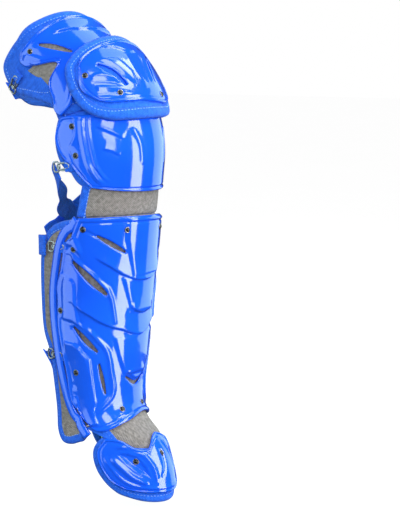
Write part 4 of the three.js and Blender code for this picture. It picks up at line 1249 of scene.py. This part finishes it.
TOE_FEATURES = [
    ("roof", -2.6, 4.0, [(-54, -0.728), (-44, -0.722), (-34, -0.74), (-27, -0.79), (-25, -0.85),
                         (-36, -0.825), (-46, -0.78)]),
    ("ridge", 2.2, 4.0, [(-56, -0.7), (-43, -0.695), (-30, -0.725), (-21, -0.79), (-19, -0.87)]),
    ("ridge", 2.2, 5.0, [(-60, -0.745), (-51, -0.795), (-41, -0.845), (-26, -0.878)]),
    ("ridge", 1.2, 3.0, [(-66, -0.72), (-60, -0.8), (-48, -0.868), (-26, -0.893), (4, -0.893), (20, -0.87)]),
    ("groove", 1.3, 2.0, [(-6, -0.7), (-3, -0.75), (-6, -0.81), (-14, -0.85)]),
    ("ridge", 1.2, 3.0, [(2, -0.67), (12, -0.75), (16, -0.83)]),
]
CAP_SLOTS = [
    (6, [(-37, 1.46), (-29, 1.4), (-23, 1.335)]),
    (5, [(24, 1.45), (17, 1.4), (12, 1.35)]),
]
THIGH_SLOTS = [(7, [(-69, 1.855), (-57, 1.77), (-46, 1.67)])]
PLATES = [
    ("shin_plate", SHIN_PLATE, SHIN_SIDE + mirrored(SHIN_SIDE) + SHIN_FRONT, SHIN_SLOTS, close_lift, 7.0),
    ("lower_knee_plate", KNEE_PLATE, KNEE_SIDE + mirrored(KNEE_SIDE, 0.8) + KNEE_FRONT, [], close_lift, 4.5),
    ("thigh_plate", THIGH_PLATE, THIGH_FEATURES, THIGH_SLOTS, close_lift, 4.5),
    ("toe_plate", TOE_PLATE, TOE_FEATURES, [], close_lift, 3.5),
    ("knee_cap", KNEE_CAP, CAP_FEATURES, CAP_SLOTS, cap_shell_lift, 4.0),
]
plate_heights = {}
for name, outline, features, slots, lift, border in PLATES:
    shell = plate(name, outline, features, slots, lift, border)
    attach(shell, "root")
    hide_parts(name)
    plate_heights[name] = (features, lift)

# The rolled strip that runs down the outer edge of the shin plate, over the seam of the wing
FLANGE_ROUTE = [(-83, 0.6), (-90, 0.54), (-96, 0.42), (-99.5, 0.27), (-102.5, 0.12), (-103.5, 0.0),
                (-103.5, -0.14), (-101, -0.32), (-96, -0.48), (-88, -0.6), (-80, -0.655)]
FLANGE_RAISED = 1.9
FLANGE_HALF_WIDTH = 6.0
FLANGE_HALF_HEIGHT = 2.6
angle, level = evenly(*follow(FLANGE_ROUTE, np.linspace(0, 1, 120)).T, 2.5)
flange = sleeve("shin_flange", place(angle, level, FLANGE_RAISED), outward(angle, level), FLANGE_HALF_WIDTH,
                FLANGE_HALF_HEIGHT, False, shell_plastic)
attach(flange, "root")

# Rivets
# Black domed rivets in a thin steel washer, which clamp each plate through its lining.
RIVET_RADIUS = 4.0
RIVET_RAISED = 0.2
RIVET_SETS = [
    ("shin", "shin_plate", [(-75, 0.535), (-86, 0.395), (-95, -0.03), (-88, -0.335), (-28, 0.535),
                            (24, 0.535), (-24, -0.53), (20, -0.515), (58, 0.47), (69, 0.375), (85, -0.05), (81, -0.395)]),
    ("knee", "lower_knee_plate", [(-82, 1.23), (-83, 1.04), (58, 1.17), (61, 1.0)]),
    ("cap", "knee_cap", [(-51, 1.44), (-31, 1.305), (15, 1.275)]),
    ("thigh", "thigh_plate", [(-82, 1.86), (64, 1.72)]),
    ("toe", "toe_plate", [(-37, -0.765), (-4, -0.735)]),
]
rivet_points, given, result = effect(
    "domed_rivets", [("Geometry", "NodeSocketGeometry", None), ("Radius", "NodeSocketFloat", 0.0037),
                     ("Dome", "NodeSocketMaterial", None), ("Washer", "NodeSocketMaterial", None)],
    [("Geometry", "NodeSocketGeometry")], "GeometryNodeTree")
dome = rivet_points.node("GeometryNodeMeshUVSphere", {"Segments": 24, "Rings": 12, "Radius": 0.72})
low_dome = rivet_points.node("GeometryNodeTransform", {"Geometry": dome.outputs[0], "Scale": (1, 1, 0.75)})
circle = rivet_points.node("GeometryNodeCurvePrimitiveCircle", {"Resolution": 28, "Radius": 0.82})
ring = rivet_points.node("GeometryNodeCurvePrimitiveCircle", {"Resolution": 10, "Radius": 0.18})
washer = rivet_points.node("GeometryNodeCurveToMesh", {"Curve": circle.outputs[0],
                                                       "Profile Curve": ring.outputs[0]})
both = rivet_points.node("GeometryNodeJoinGeometry")
for form, label in ((low_dome, "Dome"), (washer, "Washer")):
    dressed = rivet_points.node("GeometryNodeSetMaterial", {"Geometry": form.outputs[0],
                                                            "Material": given.outputs[label]})
    rivet_points.link(dressed.outputs[0], both.inputs[0])
points_in = rivet_points.node("GeometryNodeMeshToPoints", {"Mesh": given.outputs["Geometry"]})
facing = rivet_points.node("GeometryNodeInputNamedAttribute", {"Name": "facing"}, data_type="FLOAT_VECTOR")
turned = rivet_points.node("FunctionNodeAlignRotationToVector", {"Vector": facing.outputs[0]}, axis="Z")
placed = rivet_points.node("GeometryNodeInstanceOnPoints", {
    "Points": points_in.outputs[0], "Instance": both.outputs[0], "Rotation": turned.outputs[0],
    "Scale": given.outputs["Radius"]})
real = rivet_points.node("GeometryNodeRealizeInstances", {"Geometry": placed.outputs[0]})
rivet_points.link(real.outputs[0], result.inputs[0])

black_plastic = grained("black_plastic", (0.006, 0.006, 0.007), (0.016, 0.016, 0.018), 60.0, 900.0, 0.0001,
                        Roughness=0.14, Specular_IOR_Level=0.7)
bright_steel = grained("bright_steel", (0.42, 0.43, 0.45), (0.6, 0.6, 0.62), 90.0, 1500.0, rough=(0.2, 0.38),
                       Metallic=1.0, Roughness=0.18)
dark_steel = grained("dark_steel", (0.2, 0.2, 0.21), (0.4, 0.4, 0.42), 90.0, 1500.0, Metallic=1.0,
                     Roughness=0.25)

for label, plate_name, spots in RIVET_SETS:
    features, lift = plate_heights[plate_name]
    angle, level = np.array(spots, float).T
    ups = outward(angle, level)
    height = lift(angle) + SHELL_THICKNESS + relief(angle, level, skin(angle, level), ups, features)
    rivets = by_nodes(label + "_rivets", rivet_points.tree, place(angle, level, height + RIVET_RAISED), [],
                      {"Radius": RIVET_RADIUS * MM, "Dome": black_plastic, "Washer": dark_steel},
                      {"facing": ups})
    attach(rivets, "root")
    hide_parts(*[f"{label}_rivet_{i + 1}" for i in range(len(spots))])

# Webbing straps and the harness panel
# Flat woven webbing in one blue, pulled straight between the hooks of the inner side and the
# loops of the outer side. The panel behind the calf is two layers of it, hemmed all round.
WEBBING_WIDTH = 25
CALF_STRAP_WIDTH = 34
TAB_WIDTH = 18
WEBBING_THICKNESS = 1.8
LAYER_GAP = 0.6
WEBBING_BLUE = ((0.006, 0.1, 0.72), (0.015, 0.17, 0.98))
woven_webbing = cloth("woven_webbing", *WEBBING_BLUE, threads=2400.0, slant=1.0, depth=0.0005, sheen=0.12)


def layer_height(layer):
    return CLEARANCE + (layer - 0.5) * (WEBBING_THICKNESS + LAYER_GAP)


def strap(name, route, width, height, thickness, looks, step=3.0):
    """Webbing along a route of angle, level and hug, the share of the way from axis to surface."""

    def spot(share):
        angle, level, hug = follow(route, np.clip(share, 0, 1)).T
        centre, _ = axis(level)
        up = outward(angle, level)
        return centre + (skin(angle, level) - centre) * hug[:, None] + up * height, up

    length = hops(spot(np.linspace(0, 1, 60))[0]).sum()
    share = np.linspace(0, 1, max(int(length / step), 4) + 1)
    centres, ups = spot(share)
    ahead, _ = spot(np.minimum(share + 0.02, 1))
    behind, _ = spot(np.maximum(share - 0.02, 0))
    alongs = unit(ahead - behind)
    acrosses = unit(np.cross(alongs, ups))
    normals = unit(np.cross(acrosses, alongs))
    ribs = np.array([-0.5, -0.485, -0.44, -0.3, 0.0, 0.3, 0.44, 0.485, 0.5])
    swell = np.array([0.35, 0.75, 1.0, 1.0, 1.0, 1.0, 1.0, 0.75, 0.35])
    base = centres[:, None] + acrosses[:, None] * (ribs * width)[None, :, None]
    lift = normals[:, None] * (swell * thickness / 2)[None, :, None]
    u, v = np.meshgrid(ribs * width, share * length)
    uv = np.stack([u, v], -1).reshape(-1, 2)
    return walled(name, (base + lift).reshape(-1, 3), (base - lift).reshape(-1, 3),
                  grid_quads(base.shape[:2]), looks, uv)


STRAPS = [
    ("thigh_strap", WEBBING_WIDTH, 1, [
        (93.4, 1.668, 1), (104, 1.67, 1), (117, 1.683, 1), (131, 1.7, 1), (148, 1.72, 1), (165, 1.755, 1),
        (180, 1.79, 0.99), (192, 1.81, 0.95), (206, 1.82, 0.92), (218, 1.82, 0.95), (227, 1.81, 1)]),
    ("upper_calf_strap", CALF_STRAP_WIDTH, 2.35, [
        (88, 0.91, 1), (92, 0.86, 1), (101, 0.807, 1), (111.5, 0.762, 1), (127, 0.7, 1), (145, 0.625, 1),
        (170, 0.52, 1), (184, 0.42, 1)]),
    ("lateral_calf_strap", WEBBING_WIDTH, 0.3, [
        (257, 0.93, 0.97), (248, 0.9, 0.9), (233, 0.84, 0.81), (203, 0.746, 0.7), (184, 0.66, 0.83),
        (172, 0.56, 0.94), (164, 0.47, 0.985)]),
    ("harness_arm", WEBBING_WIDTH, 2.25, [(93, 0.44, 1), (103, 0.443, 1), (113, 0.445, 1), (126, 0.44, 1)]),
    ("upper_lateral_strap", WEBBING_WIDTH, 0.3, [
        (176, 0.37, 0.99), (190, 0.375, 0.97), (202, 0.38, 0.92), (216, 0.39, 0.89), (228, 0.395, 0.95),
        (236, 0.4, 1.05), (243, 0.4, 1.06), (250, 0.4, 1.06)]),
    ("lower_lateral_strap", WEBBING_WIDTH, 0, [
        (160, -0.17, 0.985), (170, -0.23, 0.975), (182, -0.29, 0.955), (196, -0.32, 0.93), (212, -0.32, 0.9),
        (228, -0.3, 0.97), (236, -0.28, 1.04)]),
    ("lower_medial_strap", WEBBING_WIDTH, 2.25, [
        (157, -0.15, 1), (148, -0.205, 1), (139, -0.24, 1), (129, -0.265, 1), (119, -0.295, 1),
        (112, -0.325, 1)]),
    ("medial_tab", TAB_WIDTH, 1, [(91.5, -0.4, 1), (94, -0.405, 1), (97, -0.4, 1)]),
]
for name, width, layer, route in STRAPS:
    webbing = strap(name, route, width, layer_height(layer), WEBBING_THICKNESS, [woven_webbing] * 3)
    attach(webbing, "root")
    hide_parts(name)

PANEL_THICKNESS = 2
HARNESS_PANEL = {
    "top": [(122, 0.61), (145, 0.59), (168, 0.5), (182, 0.4)],
    "bottom": [(137, -0.17), (154, -0.19), (170, -0.19)],
    "left": [(130.5, -0.13), (130, 0.0), (130, 0.16), (127, 0.28), (120.5, 0.36), (120, 0.48)],
    "right": [(176, -0.14), (176, -0.03), (178.5, 0.14), (180.5, 0.3)],
}
panel_middle = layer_height(1) + LAYER_GAP
panel = pad("harness_panel", HARNESS_PANEL, panel_middle + PANEL_THICKNESS / 2,
            panel_middle - PANEL_THICKNESS / 2, [woven_webbing] * 3, step=3.0, rim=1.5, crown=0.5)
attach(panel, "root")
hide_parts("harness_panel")
HEM_INSET = 3.5
angle, level, closed = rim_places(HARNESS_PANEL, WHOLE, HEM_INSET, TAPE_STEP)
hem = stitches("harness_hem_stitches", [place(angle, level, panel_middle + side * PANEL_THICKNESS / 2)
                                        for side in (1, -1)], True)
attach(hem, "root")

# Bare white label and the ankle patch
# A blank square of white cloth sewn to the harness, and a blank oval of black leather on the
# inner ankle wing.
LABEL = {
    "top": [(138, 0.13), (153, 0.13), (168, 0.13)],
    "bottom": [(139, -0.065), (153, -0.065), (167, -0.065)],
}
LABEL_RAISED = 1.9
LABEL_THICKNESS = 1.0
white_cloth = cloth("white_label_cloth", (0.82, 0.82, 0.81), (0.93, 0.93, 0.92), threads=4200.0, depth=0.0002)
label_face = panel_middle + LABEL_RAISED
label = pad("harness_label", LABEL, label_face, label_face - LABEL_THICKNESS, [white_cloth] * 3, step=2.5,
            rim=0.8, crown=0.4)
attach(label, "root")

ANKLE_PATCH_CENTRE = (104, -0.665)
ANKLE_PATCH_HALF = (11.0, 19.0)
ANKLE_PATCH_TURN = math.radians(18)
ANKLE_PATCH_SWELL = 1.4
rings = np.linspace(0, 1, 9)
turns = np.linspace(0, 2 * math.pi, 40, endpoint=False)
patch_x = np.outer(rings, np.cos(turns)) * ANKLE_PATCH_HALF[0]
patch_y = np.outer(rings, np.sin(turns)) * ANKLE_PATCH_HALF[1]
turned_x = patch_x * math.cos(ANKLE_PATCH_TURN) + patch_y * math.sin(ANKLE_PATCH_TURN)
turned_y = patch_y * math.cos(ANKLE_PATCH_TURN) - patch_x * math.sin(ANKLE_PATCH_TURN)
patch_angle = ANKLE_PATCH_CENTRE[0] + turned_x
patch_level = ANKLE_PATCH_CENTRE[1] + turned_y / FOOT_DROP
swell = ANKLE_PATCH_SWELL * np.sqrt(1 - (rings * 0.96) ** 2)[:, None]
outer = place(patch_angle, patch_level, 0.2 + swell).reshape(-1, 3)
inner = place(patch_angle, patch_level, -0.5).reshape(-1, 3)
faces = []
for i in range(len(rings) - 1):
    a, b = i * len(turns), (i + 1) * len(turns)
    for k in range(len(turns)):
        n = (k + 1) % len(turns)
        faces.append([a + k, b + k, b + n, a + n])
patch = walled("ankle_patch", outer, inner, faces, [black_leather] * 3, surface_uv(patch_angle, patch_level))
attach(patch, "root")

# Snap hooks and their tabs
# Each strap ends in a hook of bright steel wire: a bail that the webbing is sewn round, a long
# loop with a thin sprung gate, and a short tab on the guard that it clips to, black leather on the
# inner side and webbing on the outer side.
HOOK_WIDTH = 15
HOOK_WIRE = 2.6
HOOKS = [
    ("thigh_hook", 89, 1.67, -15, 1, -1), ("knee_hook", 84, 0.94, -38, 1, -1),
    ("calf_hook", 90.3, 0.44, 0, 1, -1), ("ankle_hook", 101.2, -0.373, 38, 2, -1),
    ("thigh_side_hook", 246, 1.8, 10, 1, 1), ("knee_side_hook", 265, 0.96, 5, 1, 1),
    ("calf_side_hook", 261, 0.4, 0, 1, 1), ("ankle_side_hook", 253.5, -0.26, 0, 1, 1),
]


def seat(angle, level, height, turn):
    """Origin and axes of a frame on the leg surface, turned about the direction out of it."""
    normal = outward(angle, level)
    around = unit(skin(angle + 1, level) - skin(angle - 1, level))
    along = np.cross(normal, around)
    c, s = math.cos(math.radians(turn)), math.sin(math.radians(turn))
    x = around * c + along * s
    return place(angle, level, height), np.stack([x, np.cross(normal, x), normal])


def wire(points, radius, closed, sides=10):
    """Points and faces of a round wire along points."""
    tangents = headings(points, closed)
    side = unit(np.cross((0.0, 0.0, 1.0), tangents) + 1e-6)
    lift = np.cross(tangents, side)
    turn = np.linspace(0, 2 * math.pi, sides, endpoint=False)
    rings = points[:, None] + radius * (side[:, None] * np.cos(turn)[None, :, None]
                                        + lift[:, None] * np.sin(turn)[None, :, None])
    return rings.reshape(-1, 3), tube_faces(len(points), sides, closed)


def gathered(parts):
    """Several (points, faces) as one."""
    points, faces, start = [], [], 0
    for some, corners in parts:
        points.append(some)
        faces.extend(tuple(start + k for k in face) for face in corners)
        start += len(some)
    return np.concatenate(points), faces


def oval(centre_x, half_x, half_y, squareness, count=36):
    _, x, y = squared(count, squareness)
    return np.stack([centre_x + half_x * x, half_y * y, 0 * x], -1)


# Sizes in a hook's own frame: x along it towards the guard, y across it, z out of the leg
BAIL_X, BAIL_HALF = -8.6, 4.0
LOOP_X, LOOP_HALF, LOOP_TWIST = 3.2, (9.2, 4.6), 0.8
KNOB_X, KNOB_HALF = -5.0, (1.6, 2.3)
GATE_X, GATE_Y, GATE_Z = (-4.5, 10.5), (-3.6, -2.2), 1.3
TAB_X, TAB_Z = (7.0, 19.0), (1.2, -1.2)
TAB_HALF, TAB_HALF_THICKNESS, TAB_EDGE = 6.5, 0.9, 0.5
TAB_RINGS = 9
tab_section = np.array([
    (0, -TAB_HALF, -TAB_HALF_THICKNESS), (0, TAB_HALF, -TAB_HALF_THICKNESS), (0, TAB_HALF + TAB_EDGE, 0),
    (0, TAB_HALF, TAB_HALF_THICKNESS), (0, -TAB_HALF, TAB_HALF_THICKNESS), (0, -TAB_HALF - TAB_EDGE, 0)])
for name, angle, level, turn, layer, away in HOOKS:
    height = layer_height(layer - 0.5) + HOOK_WIRE / 2
    origin, axes = seat(angle, level, height, turn)
    bail = oval(away * BAIL_X, BAIL_HALF, HOOK_WIDTH / 2 - HOOK_WIRE / 2, 0.45)
    loop = oval(away * LOOP_X, *LOOP_HALF, 0.8)
    loop[:, 2] += LOOP_TWIST * np.sin(np.linspace(0, 2 * math.pi, len(loop)))
    gate = np.stack([np.linspace(*GATE_X, 9) * away, np.linspace(*GATE_Y, 9), np.full(9, GATE_Z)], -1)
    knob = oval(away * KNOB_X, *KNOB_HALF, 0.8, 18)
    points, faces = gathered([wire(bail, HOOK_WIRE / 2 * 0.85, True), wire(loop, HOOK_WIRE / 2, True),
                              wire(gate, HOOK_WIRE / 3.2, False), wire(knob, HOOK_WIRE / 2, True)])
    hook = righted(piece_of(name, origin + points @ axes, faces, [bright_steel]))
    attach(hook, "root")
    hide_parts(name)
    tab_route = np.stack([np.linspace(*TAB_X, TAB_RINGS) * away, np.zeros(TAB_RINGS),
                          np.linspace(*TAB_Z, TAB_RINGS)], -1)
    points = (tab_route[:, None] + tab_section).reshape(-1, 3)
    tab_look = woven_webbing if away > 0 else black_leather
    tab = righted(piece_of(name + "_tab", origin + points @ axes, tube_faces(TAB_RINGS, 6, False), [tab_look],
                           uv=points[:, :2], smooth=False))
    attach(tab, "root")

# Sliders and the ankle buckle
# Moulded black sliders take up the slack of the upper straps, and a bright cast buckle does the
# same above the ankle. Each is a frame with a bar across its middle.
white_alloy = grained("white_alloy", (0.78, 0.79, 0.8), (0.9, 0.9, 0.91), 60.0, 900.0, 0.0001, Metallic=0.35,
                      Roughness=0.3)
SLIDER_LENGTH = 20
SLIDER_BAR = 4
SLIDER_THICKNESS = 3
SLIDERS = [
    ("knee_slider", 93, 0.845, -38, 3.35, CALF_STRAP_WIDTH, black_plastic, "slider"),
    ("calf_slider", 99, 0.442, 0, 3.05, WEBBING_WIDTH, black_plastic, "slider"),
    ("ankle_buckle", 114, -0.312, 35, 3.15, WEBBING_WIDTH, white_alloy, "buckle"),
]
for name, angle, level, turn, layer, width, look, material_slot in SLIDERS:
    height = layer_height(layer) - WEBBING_THICKNESS / 2 + CLEARANCE + SLIDER_THICKNESS / 2
    origin, axes = seat(angle, level, height, turn)
    half_span = (width + SLIDER_BAR) / 2
    frame_line = oval(0, (SLIDER_LENGTH - SLIDER_BAR) / 2, half_span, 0.32, 72)
    middle_bar = np.linspace((0, -half_span, 0), (0, half_span, 0), 17)
    flat = np.array([1.0, 1.0, SLIDER_THICKNESS / SLIDER_BAR])
    points, faces = gathered([wire(frame_line, SLIDER_BAR / 2, True, 12),
                              wire(middle_bar, SLIDER_BAR / 2, False, 12)])
    slider = righted(piece_of(name, origin + (points * flat) @ axes, faces, [look]))
    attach(slider, "root")
    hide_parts(name)
